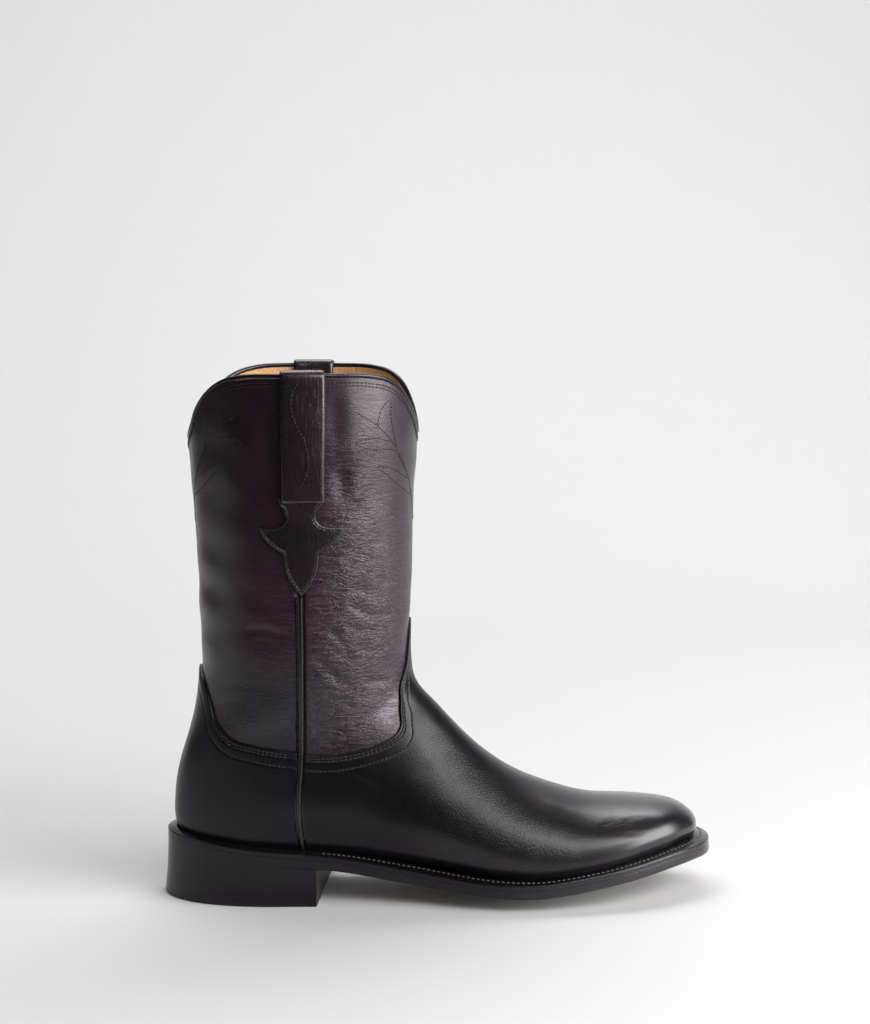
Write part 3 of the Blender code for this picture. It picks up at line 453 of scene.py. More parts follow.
def make_piece(name, points, faces, material, sharp=40, merge=False):
    """a smooth mesh piece that rides on the boot, from an array of faces or a list of such arrays. A closed
    mesh whose signed volume is negative is turned, and merge joins points that lie in one place"""
    points = np.asarray(points, float).reshape(-1, 3)
    groups = list(faces) if isinstance(faces, (list, tuple)) else [faces]
    a, *ring = (np.concatenate([points[g[:, k]] for g in groups]) for k in range(3))
    volume = np.einsum("ij,ij->", a, np.cross(*ring))
    volume += sum(np.einsum("ij,ij->", points[g[:, 0]], np.cross(points[g[:, 2]], points[g[:, 3]]))
                  for g in groups if g.shape[1] == 4)
    turned = [g[:, ::-1] if volume < 0 else g for g in groups]
    mesh = bpy.data.meshes.new(name)
    mesh.from_pydata(points, [], [face for g in turned for face in g.tolist()])
    if merge:
        work = bmesh.new()
        work.from_mesh(mesh)
        bmesh.ops.remove_doubles(work, verts=work.verts, dist=2e-6)
        bmesh.ops.dissolve_degenerate(work, edges=work.edges, dist=1e-7)
        bmesh.ops.recalc_face_normals(work, faces=work.faces)
        work.to_mesh(mesh)
        work.free()
    mesh.shade_smooth()
    mesh.set_sharp_from_angle(angle=np.radians(sharp))
    mesh.materials.append(material)
    made = bpy.data.objects.new(name, mesh)
    scene.collection.objects.link(made)
    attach(made, "root")
    return made


def leather_wall(name, outside, inside, ring, material, sharp=40):
    """a closed wall between an outside and an inside grid of points [row, column]. It is a ring, or it has
    ends"""
    grid = np.concatenate([outside, inside[::-1]])
    rows, columns = grid.shape[:2]
    faces = [grid_quads(rows, columns, closed_rows=True, closed_columns=ring)]
    if not ring:
        index = np.arange(rows * columns).reshape(rows, columns)
        up = np.arange(rows // 2 - 1)
        corners = np.stack([up, up + 1, rows - 2 - up, rows - 1 - up], -1)
        faces += [index[corners, 0], index[corners[:, ::-1], -1]]
    return make_piece(name, grid, faces, material, sharp)


def round_solid(name, grid, ring, material, sharp=40, merge=False):
    """a closed solid from a grid whose rows go round its section. It is a ring, or flat ends are fanned from
    their middles"""
    rows, columns = grid.shape[:2]
    points = grid.reshape(-1, 3)
    faces = [grid_quads(rows, columns, closed_rows=True, closed_columns=ring)]
    if not ring:
        loop = np.arange(rows) * columns
        faces += [np.stack([np.full(rows, len(points) + k), loop + end, np.roll(loop, -step) + end], -1)
                  for k, (end, step) in enumerate(((0, 1), (columns - 1, -1)))]
        points = np.concatenate([points, grid[:, [0, -1]].mean(0)])
    return make_piece(name, points, faces, material, sharp, merge)


def paint(piece, name, value):
    """a number for each point, which the piece's material reads by that name"""
    layer = piece.data.attributes.new(name, "FLOAT", "POINT")
    layer.data.foreach_set("value", np.ascontiguousarray(value, np.float32).ravel())


def piece_points(piece):
    points = np.empty(len(piece.data.vertices) * 3, np.float32)
    piece.data.vertices.foreach_get("co", points)
    return points.reshape(-1, 3).astype(float)


def spots(points, *table):
    """the sum of soft spots, each a height times a bell of the distance from a centre, with a size along each
    axis"""
    return sum(high * np.exp(-(((points - np.array(centre)) / np.array(size)) ** 2).sum(-1))
               for high, centre, size in table)


def ripple(points, wavelength, seed, stretch=(1, 1, 1), waves=18):
    """uneven waviness: the sum of plane waves with seeded directions and phases, about one high"""
    dice = np.random.default_rng(seed)
    direction = dice.normal(size=(waves, 3))
    direction /= np.linalg.norm(direction, axis=1, keepdims=True)
    pace = 2 * np.pi / wavelength * dice.uniform(0.65, 1.5, waves)
    phase = dice.uniform(0, 2 * np.pi, waves)
    wave = np.sin((points / np.array(stretch)) @ (direction * pace[:, None]).T + phase)
    return wave.sum(-1) / np.sqrt(waves / 2)


def creases(points, table, side):
    """height of the listed creases: along each line in the side view, seen on one side of the foot, a
    bell-shaped dip with a low shoulder on both sides, which fades out at the line's ends. A row is depth,
    width, then x and z of the line's points, in millimetres"""
    total = np.zeros(len(points))
    here = points[:, [0, 2]] * 1000
    facing = ramp(side * points[:, 1], 0, 0.012)
    for depth, width, *line in table:
        line = np.array(line, float).reshape(-1, 2)
        run = line[1:] - line[:-1]
        length = np.hypot(*run.T)
        before = way_along(line)
        share = np.clip(((here[:, None] - line[:-1]) * run).sum(-1) / (length ** 2), 0, 1)
        gap = np.hypot(*np.moveaxis(here[:, None] - line[:-1] - run * share[..., None], -1, 0))
        nearest = gap.argmin(1)
        row = np.arange(len(here))
        way = (before[nearest] + share[row, nearest] * length[nearest]) / before[-1]
        q = (gap[row, nearest] / width) ** 2
        along = np.clip(np.sin(np.pi * way), 0, 1) ** 0.6
        total -= depth / 1000 * (1 - 0.55 * q) * np.exp(-0.6 * q) * along * facing
    return total


def node(tree, kind, *first, **named):
    """a shader node. Its sockets take the first values in order; a name is one of its settings or, with _ for a
    space, one of its sockets. Another node's output is linked, and any other value is set"""
    made = tree.nodes.new(kind)
    for key, value in [*enumerate(first), *named.items()]:
        if isinstance(key, str) and hasattr(made, key):
            setattr(made, key, value)
            continue
        socket = made.inputs[key.replace("_", " ") if isinstance(key, str) else key]
        if isinstance(value, bpy.types.NodeSocket):
            tree.links.new(value, socket)
        else:
            socket.default_value = value
    return made


def noise(tree, where, scale, detail, roughness, distortion=0.0):
    return node(tree, "ShaderNodeTexNoise", Vector=where, Scale=scale, Detail=detail, Roughness=roughness,
                Distortion=distortion).outputs["Fac"]


def stretched(tree, scale, turned=(0, 0, 0)):
    """the object's own coordinates, turned and scaled"""
    place = node(tree, "ShaderNodeTexCoord").outputs["Object"]
    return node(tree, "ShaderNodeMapping", Vector=place, Scale=scale, Rotation=turned).outputs[0]


def bump(tree, height, strength, distance, **more):
    return node(tree, "ShaderNodeBump", Height=height, Strength=strength, Distance=distance, **more).outputs[0]


# Leather: the hide that every dark piece is cut from. The colour is nearly black with a wine tint that comes
# and goes, wax makes it half glossy, and the grain is pebbles of under a millimetre, with fine wrinkles where
# it has bent.
def hide(name, dark, tint, gloss, pebble=0.25, wrinkle=0.0, coat=0.12, coat_gloss=0.22, tint_size=0.05,
         pebble_size=0.0013, shine=0.5, uneven=0.3, glow=(1.0, 0.92, 0.96), run=(125, 125, 480), polished=False):
    """a leather: colour drifts between dark and tint in clouds of tint_size, roughness drifts about gloss, and
    three bumps lie on each other: a slow unevenness, wrinkles and pebbles. Paint on a piece adds warmth,
    wrinkles, grain and, where the leather is polished, wax"""
    made, tree, shader = principled(name, Specular_IOR_Level=shine, Specular_Tint=(*glow, 1), Coat_Weight=coat,
                                    Coat_Roughness=coat_gloss)
    place = node(tree, "ShaderNodeTexCoord").outputs["Object"]

    def painted(word):
        return node(tree, "ShaderNodeAttribute", attribute_name=word).outputs["Fac"]

    def reckon(operation, *values, **more):
        return node(tree, "ShaderNodeMath", *values, operation=operation, **more).outputs[0]

    def spread(value, low, high, **more):
        return node(tree, "ShaderNodeMapRange", value, low, high, **more).outputs["Result"]

    if polished:
        tree.links.new(reckon("ADD", painted("polish"), coat, use_clamp=True), shader.inputs["Coat Weight"])
    clouds = reckon("MULTIPLY_ADD", noise(tree, place, 1 / tint_size, 3.0, 0.55), 0.9, painted("warm"))
    colour = node(tree, "ShaderNodeMix", spread(clouds, 0.25, 1.15), data_type="RGBA")
    colour.inputs[6].default_value = (*dark, 1)
    colour.inputs[7].default_value = (*tint, 1)
    tree.links.new(colour.outputs[2], shader.inputs["Base Color"])
    wax = spread(noise(tree, place, 95.0, 4.0, 0.6), 0.3, 0.7, To_Min=gloss - 0.045, To_Max=gloss + 0.045)
    tree.links.new(wax, shader.inputs["Roughness"])

    swell = bump(tree, noise(tree, place, 130.0, 3.0, 0.5), uneven, 0.0004)
    hills = noise(tree, stretched(tree, run, (0, 0.16, 0)), 1.0, 3.0, 0.6, 0.7)
    valleys = reckon("ABSOLUTE", reckon("SUBTRACT", hills, 0.5))
    folds = spread(valleys, 0.0, 0.10, interpolation_type="SMOOTHSTEP")
    fold_height = reckon("MULTIPLY", reckon("ADD", painted("wrinkle"), wrinkle), folds)
    wrinkled = bump(tree, fold_height, 0.7, 0.0003, Normal=swell)
    cells = node(tree, "ShaderNodeTexVoronoi", Vector=place, Scale=1 / pebble_size, feature="F1")
    grain_height = reckon("MULTIPLY", reckon("ADD", painted("grain"), pebble), cells.outputs["Distance"])
    tree.links.new(bump(tree, grain_height, 0.5, 0.0005, Normal=wrinkled, invert=True), shader.inputs["Normal"])
    return made


WALL = 0.0022
OVERLAY = 0.0013
TUCK = 0.008
SHAFT_EASE = 0.3
LEVEL_SHARE = 0.09


def shaft_sink(share):
    """how far the shaft lies under the last's surface: an overlay's thickness at the vamp line, nothing from
    SHAFT_EASE of its height upwards"""
    return OVERLAY * eased(ramp(share, SHAFT_EASE, -SHAFT_EASE))


def lean_in(chart, share, depth):
    """points that far inside the last, along its normal, which is levelled where the wall nears the welt"""
    normal = last_normal(chart)
    normal[..., 2] *= ramp(share, 0, LEVEL_SHARE)
    normal = unit(normal)
    return last_point(chart) - normal * np.broadcast_to(depth, normal.shape[:-1])[..., None]


# Lining: pale tanned leather with an open, pebbly face. It covers the whole inside, from the insole to the rim.
LINING_THICK = 0.0007
thin = slice(None, None, 3)
lining_rows = np.linspace(0, 1, 30)[:, None]
lining_up = np.linspace(0, 1, 48)[1:, None]


def inner_wall(off):
    """grid of the whole inside, that far off the upper's own inner face"""
    lower = lean_in(chart_along(PANEL_PATHS, lining_rows * PANEL_LENGTH[thin], thin), lining_rows,
                    OVERLAY + WALL - off)
    lower[0, :, 2] = feather_height(last_point(FEATHER_CHART)[thin, 0])
    high = chart_along(SHAFT_PATHS, lining_up * SHAFT_LENGTH[thin], thin)
    return np.concatenate([lower, lean_in(high, np.ones_like(lining_up), shaft_sink(lining_up) + WALL - off)])


natural = hide("lining_leather", (0.68, 0.38, 0.15), (0.80, 0.49, 0.23), 0.60, pebble=1.5, coat=0.0,
               tint_size=0.02, pebble_size=0.0012)
lining = leather_wall("lining", inner_wall(LINING_THICK), inner_wall(0), True, natural)

# Shaft: supple hide in a front and a back half, here one wall with a groove where the side seams join them. It
# comes out from under vamp and counter, and has bent below the pull strap and over the instep, where its
# creases lie.
SHAFT_CREASES = (
    (0.55, 2.6, 44, 138, 49, 131, 56, 124, 65, 118),
    (0.40, 2.1, 45, 153, 52, 151, 59, 143, 63, 135),
    (0.40, 1.8, 68, 122, 75, 121, 83, 120),
    (0.45, 2.3, 48, 187, 55, 181, 60, 173),
    (0.40, 2.1, 46, 177, 53, 172, 59, 165),
    (0.35, 1.9, 43, 166, 50, 163, 60, 165, 70, 162),
    (0.35, 1.9, 60, 168, 67, 161, 76, 157, 85, 158),
    (0.30, 1.8, 62, 176, 70, 171, 80, 170),
    (0.30, 1.8, 58, 156, 68, 150, 80, 150),
    (0.30, 1.9, 50, 146, 58, 137, 66, 134),
    (0.30, 1.8, 66, 141, 75, 138, 84, 140),
    (0.45, 2.8, 42, 96, 48, 91, 56, 88),
    (0.35, 2.4, 41, 103, 50, 98, 60, 96),
    (0.10, 2.3, 18, 178, 26, 174, 35, 170),
    (0.08, 2.1, 12, 171, 22, 168, 33, 163),
    (0.06, 2.1, -16, 105, -7, 110, 2, 113),
    (0.06, 2.4, -10, 118, 2, 121, 14, 120),
    (0.22, 2.1, 6, 150, 18, 152, 30, 148),
)
# dents where the pull strap's seam draws the hide in: depth in millimetres, centre and size in metres
STRAP_DENTS = (
    (1.3, (0.0225, -0.054, 0.250), (0.0060, 0.03, 0.020)),
    (0.9, (0.0205, -0.052, 0.224), (0.0070, 0.03, 0.008)),
    (1.3, (0.0590, -0.050, 0.230), (0.0055, 0.03, 0.010)),
    (0.6, (0.0560, -0.052, 0.262), (0.0050, 0.03, 0.014)),
    (0.8, (0.0540, 0.052, 0.235), (0.0060, 0.03, 0.014)),
    (0.7, (0.0220, 0.052, 0.245), (0.0060, 0.03, 0.018)),
)
tuck_rows = np.array([TUCK, TUCK * 0.6, TUCK * 0.25])[:, None]
shaft_heights = np.concatenate([[0.0, 0.004, 0.01], np.linspace(0.02, 0.98, 120), [0.99, 1.0]])[:, None]
shaft_top = chart_along(SHAFT_PATHS, shaft_heights * SHAFT_LENGTH)
shaft_low = chart_along(PANEL_PATHS, PANEL_LENGTH - tuck_rows)
shaft_chart = np.concatenate([shaft_low, shaft_top])
shaft_depth = np.concatenate([np.full((3, 1), OVERLAY), shaft_sink(shaft_heights)])
shaft_smooth = lean_in(shaft_chart, 1, shaft_depth)
SHAFT_THICK = 0.0014
# the channel beside the side seam: depth and top in metres, reach and fade in millimetres; then the rolled edge
# behind it: height in metres, place and width in millimetres
SEAM_GROOVE, GROOVE_TOP, GROOVE_REACH, GROOVE_FADE = 0.0009, 0.178, 3.3, 1.6
ROLL_HEIGHT, ROLL_PLACE, ROLL_WIDTH = 0.00045, 2.9, 0.55


def seam_groove(points):
    """depth of the channel beside each side seam: full under the piping and fading out beside it, with the
    rolled edge of the back half standing proud behind it"""
    before = (points[..., 0] - seam_x(points[..., 2])) * 1000
    rolled = ROLL_HEIGHT * np.exp(-((before + ROLL_PLACE) / ROLL_WIDTH) ** 2)
    sunk = SEAM_GROOVE * ramp(np.abs(before), GROOVE_REACH, -GROOVE_FADE) ** 2 - rolled
    return sunk * (points[..., 2] < GROOVE_TOP) * (np.abs(points[..., 1]) > 0.02)


def shaft_relief(points):
    """height added to the shaft: slow waves, small folds towards the front, and the creases, none of them under
    the straps and tabs or at the collar's rim"""
    flat = points.reshape(-1, 3)
    up = flat[:, 2]
    away = np.abs(flat[:, 0] - seam_x(up)) * 1000
    beside_strap = ramp(away, 11, 9) * np.clip((away - 18) / 8, 0.25, 1)
    beside_tab = np.maximum(ramp(away, 20, 8), ramp(up, 0.168, -0.006))
    below_rim = np.clip((0.281 - up) / 0.03, 0.15, 1)
    calm = np.where(up > 0.205, beside_strap, beside_tab) * ramp(away, 2.5, 5) * below_rim
    height = 0.00012 * ripple(flat, 0.060, 3, (1, 1, 1.4)) + 0.00012 * ripple(flat, 0.023, 5, (1.6, 1.6, 0.8))
    height += 1.5 * creases(flat, SHAFT_CREASES, -1) + 0.8 * creases(flat, SHAFT_CREASES, 1)
    return (height * calm - spots(flat, *STRAP_DENTS) / 1000).reshape(points.shape[:-1])


shaft_out = lean_in(shaft_chart, 1, shaft_depth - shaft_relief(shaft_smooth) + seam_groove(shaft_smooth))
shaft_in = lean_in(shaft_chart, 1, shaft_depth + SHAFT_THICK)
wine = hide("shaft_leather", (0.0090, 0.0048, 0.0080), (0.034, 0.0125, 0.0220), 0.34, pebble=0.10, coat=0.06,
            coat_gloss=0.28, wrinkle=0.08, shine=0.82, glow=(1.0, 0.89, 0.95))
shaft = leather_wall("shaft", shaft_out, shaft_in, True, wine)
at = piece_points(shaft)
paint(shaft, "warm", spots(at, (0.35, (0.02, -0.05, 0.18), (0.04, 0.06, 0.07)))
      - 0.75 * ramp(at[:, 2], 0.140, -0.03))
paint(shaft, "wrinkle", spots(at, (0.75, (0.068, 0, 0.165), (0.030, 0.08, 0.035)),
                              (0.35, (0.065, 0, 0.215), (0.026, 0.08, 0.040)),
                              (0.70, (0.060, 0, 0.115), (0.03, 0.08, 0.03))))
paint(shaft, "grain", spots(at, (0.25, (0.07, 0, 0.16), (0.035, 0.08, 0.07))))

# Rim bead: a narrow strip folded over the top of shaft and lining, which shows as a thin dark roll.
RIM_RADIUS = 0.0011
trim = hide("piping_leather", (0.0060, 0.0045, 0.0058), (0.0110, 0.0070, 0.0092), 0.27, pebble=0.0, coat=0.15,
            shine=0.5)


def tube(name, centre, side, up, radius, material, ring, sides=12):
    """a round profile carried along a path, in the plane of two unit vectors at each point"""
    turn = np.linspace(0, 2 * np.pi, sides, endpoint=False)[:, None, None]
    return round_solid(name, centre + radius * (np.cos(turn) * side + np.sin(turn) * up), ring, material)


rim_normal = last_normal(COLLAR_CHART)
rim_middle = last_point(COLLAR_CHART) - rim_normal * WALL / 2
rim_up = np.cross(rim_normal, np.roll(rim_middle, -1, 0) - np.roll(rim_middle, 1, 0))
rim_up = unit(rim_up * np.sign(rim_up[:, 2:]))
rim_bead = tube("rim_bead", rim_middle + rim_up * (RIM_RADIUS + 0.0002), rim_normal, rim_up, RIM_RADIUS * 1.12,
                trim, True)
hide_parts("topline_piping")

# Vamp and counter: firmer, waxed hide over the foot, a thickness proud of the shaft. Their top edges are cut
# clean, eased and blackened, with two rows of stitching below and a third further down. They leave a gap for
# the piping at the side seams. SNUG is the hair's breadth between pieces that lie on each other.
HALF_GAP, SNUG = 0.0017, 0.0001
EDGE_EASE = 0.0009
STITCH_ROWS = (0.0019, 0.0034, 0.0088)
near_edge = np.array([0, .1, .25, .45, .7, 1.0, 1.3, 1.6, 1.9, 2.2, 2.5, 2.8, 3.1, 3.4, 3.7, 4.0, 4.5, 5.2, 6.2,
                      7.2, 7.9, 8.2, 8.5, 8.8, 9.1, 9.4, 9.8]) / 1000
STITCH_SINK, SINK_WIDTH = 0.00028, 0.0004
TOE_CREASES = (
    (0.22, 0.9, 197, 38, 204, 41, 212, 44),
    (0.22, 0.9, 201, 37, 209, 41, 218, 45),
    (0.20, 0.9, 206, 36.5, 213, 40, 222, 44),
    (0.20, 0.9, 211, 36.5, 217, 39.5, 226, 43),
    (0.18, 1.0, 192, 39, 198, 41.5, 206, 44.5),
    (0.16, 0.9, 216, 36, 222, 38.5, 229, 41),
    (0.10, 2.4, 170, 52, 180, 47, 190, 43),
    (0.10, 2.6, 160, 56, 171, 49, 181, 43),
    (0.07, 2.2, 100, 88, 110, 78, 117, 66),
    (0.12, 2.0, 60, 76, 72, 70, 84, 66),
)


def ease_over(distance, radius):
    """depth of a rounded edge at that distance in from it: a quarter circle"""
    return radius - np.sqrt(np.clip(radius ** 2 - (radius - np.clip(distance, 0, radius)) ** 2, 0, None))


def vamp_relief(points):
    """height added to the lower panels: slow waves of the lasted hide and the creases of the forefoot"""
    flat = points.reshape(-1, 3)
    calm = ramp(np.abs(flat[:, 0] - seam_x(flat[:, 2])) * 1000, 3, 8)
    calm = calm * ramp(flat[:, 2] - feather_height(flat[:, 0]), 0, 0.012)
    height = 0.00010 * ripple(flat, 0.055, 11) + 0.00002 * ripple(flat, 0.014, 12)
    height += 1.5 * creases(flat, TOE_CREASES, -1) + 0.8 * creases(flat, TOE_CREASES, 1)
    return (height * calm).reshape(points.shape[:-1])


def lower_panel(name, columns, material, rows=64):
    """the wall of one panel over these columns of leather, from its cut top edge down to the welt"""
    length = PANEL_LENGTH[columns]
    down = np.linspace(1, 0, rows)[1:, None]
    reach = np.concatenate([np.broadcast_to(near_edge[:, None], (len(near_edge), len(columns))),
                            length - (length - near_edge[-1]) * down])
    chart = chart_along(PANEL_PATHS, length - reach, columns)
    share = 1 - reach / length
    smooth = lean_in(chart, share, 0)
    to_seam = np.abs(smooth[..., 0] - seam_x(smooth[..., 2])) - HALF_GAP
    depth = ease_over(reach, EDGE_EASE) + ease_over(to_seam, EDGE_EASE)
    for row in STITCH_ROWS:
        depth = depth + STITCH_SINK * np.exp(-((reach - row) / SINK_WIDTH) ** 2)
    outside = lean_in(chart, share, np.minimum(depth, OVERLAY) - vamp_relief(smooth))
    inside = lean_in(chart, share, OVERLAY + SNUG)
    for grid in (outside, inside):
        grid[-1, :, 2] = feather_height(smooth[-1, :, 0]) - 2 * SNUG
    made = leather_wall(name, outside, inside, False, material)
    at = piece_points(made)
    paint(made, "grain", spots(at, (0.55, (0.130, -0.04, 0.050), (0.030, 0.05, 0.035)),
                               (0.36, (0.165, -0.04, 0.030), (0.030, 0.04, 0.014)),
                               (0.26, (0.11, -0.02, 0.085), (0.02, 0.04, 0.02)),
                               (0.15, (0.150, 0.03, 0.040), (0.040, 0.03, 0.03))))
    paint(made, "polish", 0.30 * ramp(at[:, 0], 0.085, 0.03) + 0.75 * ramp(at[:, 0], 0.185, 0.03))
    paint(made, "warm", spots(at, (0.30, (0.19, 0.01, 0.045), (0.04, 0.04, 0.012))) - 0.25)
    paint(made, "wrinkle", spots(at, (0.30, (0.205, -0.02, 0.045), (0.020, 0.02, 0.010)),
                                 (0.20, (0.135, -0.05, 0.040), (0.040, 0.05, 0.020))))
    return made


round_back = np.concatenate([np.arange(COLUMNS - SEAM_START - 7, COLUMNS), np.arange(SEAM_START + 8)])
round_toe = np.arange(SEAM_END - 8, COLUMNS - SEAM_END + 9)
waxed = hide("vamp_leather", (0.0044, 0.0029, 0.0056), (0.0092, 0.0050, 0.0102), 0.32, pebble=0.02, coat=0.06,
             coat_gloss=0.27, tint_size=0.07, pebble_size=0.0009, shine=0.30, uneven=0.1, glow=(0.98, 0.90, 1.0),
             polished=True)
vamp = lower_panel("vamp", round_toe, waxed)
counter = lower_panel("counter", round_back, waxed)
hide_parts("upper")

# Side seams: a cord wrapped in thin leather, held between the panels' edges from the tab's point down to the
# welt. A narrow stay of the same leather is sewn behind it, so that no lining shows between the edges.
PIPING_RADIUS = 0.0013
STRAP_DROP, TAB_DROP = 0.064, 0.049
TAB_TIP = BOOT_HEIGHT - STRAP_DROP - TAB_DROP
SHORT_OF_TIP = 0.0006
STAY_DEPTHS, STAY_REACH = (0.0002, 0.0013), 11
SIDES = ((-1, "outer"), (1, "inner"))
low_share, high_share = np.linspace(0, 1, 50), np.linspace(0, 1, 150)[1:]
stay_share = np.linspace(0, 1, 40)[:, None]
for side, word in SIDES:
    column = SEAM_MIDDLE if side < 0 else COLUMNS - SEAM_MIDDLE
    low = chart_along(PANEL_PATHS, low_share[:, None] * PANEL_LENGTH)[:, column]
    high = chart_along(SHAFT_PATHS, high_share[:, None] * SHAFT_LENGTH)[:, column]
    high = high[last_point(high)[:, 2] < TAB_TIP - SHORT_OF_TIP]
    chart = np.concatenate([low, high])
    share = np.concatenate([low_share, np.ones(len(high))])
    out = unit(lean_in(chart, share, 0) - lean_in(chart, share, 0.001))
    sink = np.concatenate([np.full(len(low), OVERLAY), shaft_sink(high_share)[:len(high)]])
    middle = last_point(chart) + out * (PIPING_RADIUS * 0.75 - sink)[:, None]
    middle[0, 2] = feather_height(middle[0, 0])
    run = unit(np.gradient(middle, axis=0))
    across = unit(np.cross(run, out))
    piping = tube("side_piping_cord_" + word, middle, across, np.cross(across, run), PIPING_RADIUS, trim, False)
    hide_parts("side_piping_" + word)
    behind_seam = np.arange(column - STAY_REACH, column + STAY_REACH + 1)
    stay_chart = chart_along(PANEL_PATHS, stay_share * PANEL_LENGTH[behind_seam], behind_seam)
    faces = [lean_in(stay_chart, stay_share, OVERLAY + depth) for depth in STAY_DEPTHS]
    for grid in faces:
        grid[0, :, 2] = feather_height(grid[0, :, 0]) + SNUG
    stay = leather_wall("seam_stay_" + word, *faces, False, trim)

# Pull straps: a doubled band of the same hide, sewn down outside, led over the rim and sewn down inside. Its
# folded edges are full and round, and its lower end lies over the neck of the tab.
STRAP_WIDTH = 0.0225
STRAP_X = 0.0801 - HEEL_CENTRE
STRAP_THICK = 0.0024
STRAP_INNER_DROP = 0.052
BELLY, BELLY_LENGTH = 0.0005, 0.06
GAP = 0.0003
tab_top = BOOT_HEIGHT - STRAP_DROP
strap_hide = hide("strap_leather", (0.0080, 0.0052, 0.0072), (0.0400, 0.0200, 0.0285), 0.29, pebble=0.10,
                  coat=0.30, wrinkle=0.22, shine=0.8, uneven=0.2, tint_size=0.02, run=(480, 480, 90))


def shaft_surface(side, x, height, depth):
    """points of the shaft at these lengths and heights, that deep inside its surface"""
    chart = shaft_chart_at(side, x, height)
    return last_point(chart) - last_normal(chart) * np.broadcast_to(depth, x.shape)[..., None]


def strap_belly(share, height):
    """how far the band stands off outside, most in the middle of its width and length"""
    return BELLY * np.sin(np.pi * ramp(height, tab_top, BELLY_LENGTH)) * (1 - share ** 2)


def strap_layers(side, rows_out=60, rows_in=30, arch=19, across=25):
    """grids of the band's underside and face, each from the outside end over the rim to the inside end"""
    share = np.sin(np.linspace(-np.pi / 2, np.pi / 2, across))
    x = STRAP_X + share * STRAP_WIDTH / 2
    top_chart = shaft_chart_at(side, x, np.full(across, BOOT_HEIGHT * 0.9))
    turn = np.arctan2(np.abs(top_chart[:, 1]), top_chart[:, 0]) / np.pi
    outer_z = np.linspace(tab_top, BOOT_HEIGHT, rows_out)[:, None] + 0 * x
    inner_z = np.linspace(BOOT_HEIGHT, BOOT_HEIGHT - STRAP_INNER_DROP, rows_in)[:, None] + 0 * x
    charts = [chart_at_height(np.broadcast_to(turn, z.shape), side, z) for z in (outer_z, inner_z)]
    (outer, inner), (off_outer, off_inner) = map(last_point, charts), map(last_normal, charts)
    rolled = ease_over((1 - np.abs(share)) * STRAP_WIDTH / 2, STRAP_THICK * 0.75) * 0.9
    raised = strap_belly(share, outer_z) - ease_over(outer_z - tab_top, EDGE_EASE)
    angle = np.linspace(0, np.pi, arch)[1:-1, None, None]
    layers = []
    for thick, lift in ((0 * share + SNUG, 0), (STRAP_THICK - rolled, raised)):
        out = outer + off_outer * (2 * GAP + thick + lift + 0 * outer_z)[..., None]
        back = inner - off_inner * (WALL + 2 * GAP + thick + 0 * inner_z)[..., None]
        middle = (out[-1] + back[0]) / 2
        rise = np.array([0, 0, 1]) * (2 * RIM_RADIUS + GAP + thick * 0.8)[:, None]
        over = middle + (out[-1] - middle) * np.cos(angle) + rise * np.sin(angle)
        layers.append(np.concatenate([out, over, back]))
    return layers


for side, word in SIDES:
    under, face = strap_layers(side)
    strap = leather_wall("strap_band_" + word, face, under, False, strap_hide, 50)
    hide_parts("pull_strap_" + word)

# Tabs: a flat spade of thin hide over each side seam, sewn all round. Half its outline, from the neck under the
# strap to the point, in millimetres from the seam and below the strap's end.
TAB_OUTLINE = ((10.9, 2.0), (10.6, -1.4), (8.9, -2.8), (7.9, -4.9), (7.6, -7.4), (8.2, -9.6), (9.7, -11.4),
               (12.2, -12.6), (15.6, -13.2), (18.5, -13.2), (21.2, -12.9), (20.6, -15.4), (19.2, -18.3),
               (17.0, -21.0), (14.3, -23.4), (11.6, -25.2), (9.0, -26.6), (8.9, -29.0), (8.7, -31.8),
               (8.1, -35.0), (7.0, -38.5), (5.3, -42.0), (3.0, -45.6), (0.8, -48.6), (0, -49.2))
TAB_THICK = 0.0014
SEWN_IN = 0.0014


def tab_outline(inset, count=420):
    """the spade's outline as places from the seam, evenly spaced, drawn in by a distance towards its spine"""
    half = np.array(TAB_OUTLINE) / 1000
    line = evenly(np.concatenate([half, (half[::-1] * (-1, 1))[1:]]), count)
    soft = np.pad(line, ((2, 2), (0, 0)), "edge")
    soft = (soft[:-4] + 4 * soft[1:-3] + 6 * soft[2:-2] + 4 * soft[3:-1] + soft[4:]) / 16
    run = unit(np.gradient(soft, axis=0))
    inward = np.pad(np.stack([run[:, 1], -run[:, 0]], -1), ((6, 6), (0, 0)), "edge")
    inward = unit(np.stack([np.convolve(column, np.ones(13) / 13, "valid") for column in inward.T], -1))
    return soft + inward * inset


def tab_place(side, plan, height):
    """points over the shaft at places of the flat tab, that high above its surface"""
    return shaft_surface(side, SEAM_X + plan[..., 0], tab_top + plan[..., 1], -np.asarray(height))


# the tab's face from its edge inwards: how far in, and what share of its thickness it has there
tab_steps = ((0.0, 0.25), (0.00012, 0.62), (0.0003, 0.86), (0.0006, 0.98), (0.001, 1.0),
             (SEWN_IN - 0.00025, 0.98), (SEWN_IN, 0.80), (SEWN_IN + 0.00025, 0.98), (0.0021, 1.0))
tab_rings = [(tab_outline(inset), share) for inset, share in tab_steps]
innermost = tab_rings[-1][0]
tab_spine = np.stack([0 * innermost[:, 0], np.clip(innermost[:, 1], -0.0465, 0.0005)], -1)
tab_rings += [(innermost + (tab_spine - innermost) * u, 1.0) for u in (0.25, 0.5, 0.75, 1.0)]
for side, word in SIDES:
    face = np.stack([tab_place(side, plan, GAP + TAB_THICK * share) for plan, share in tab_rings])
    under = np.stack([tab_place(side, plan, SNUG) for plan, share in tab_rings])
    tab = leather_wall("tab_" + word, face, under, False, strap_hide, 60)
    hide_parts("spade_tab_" + word)

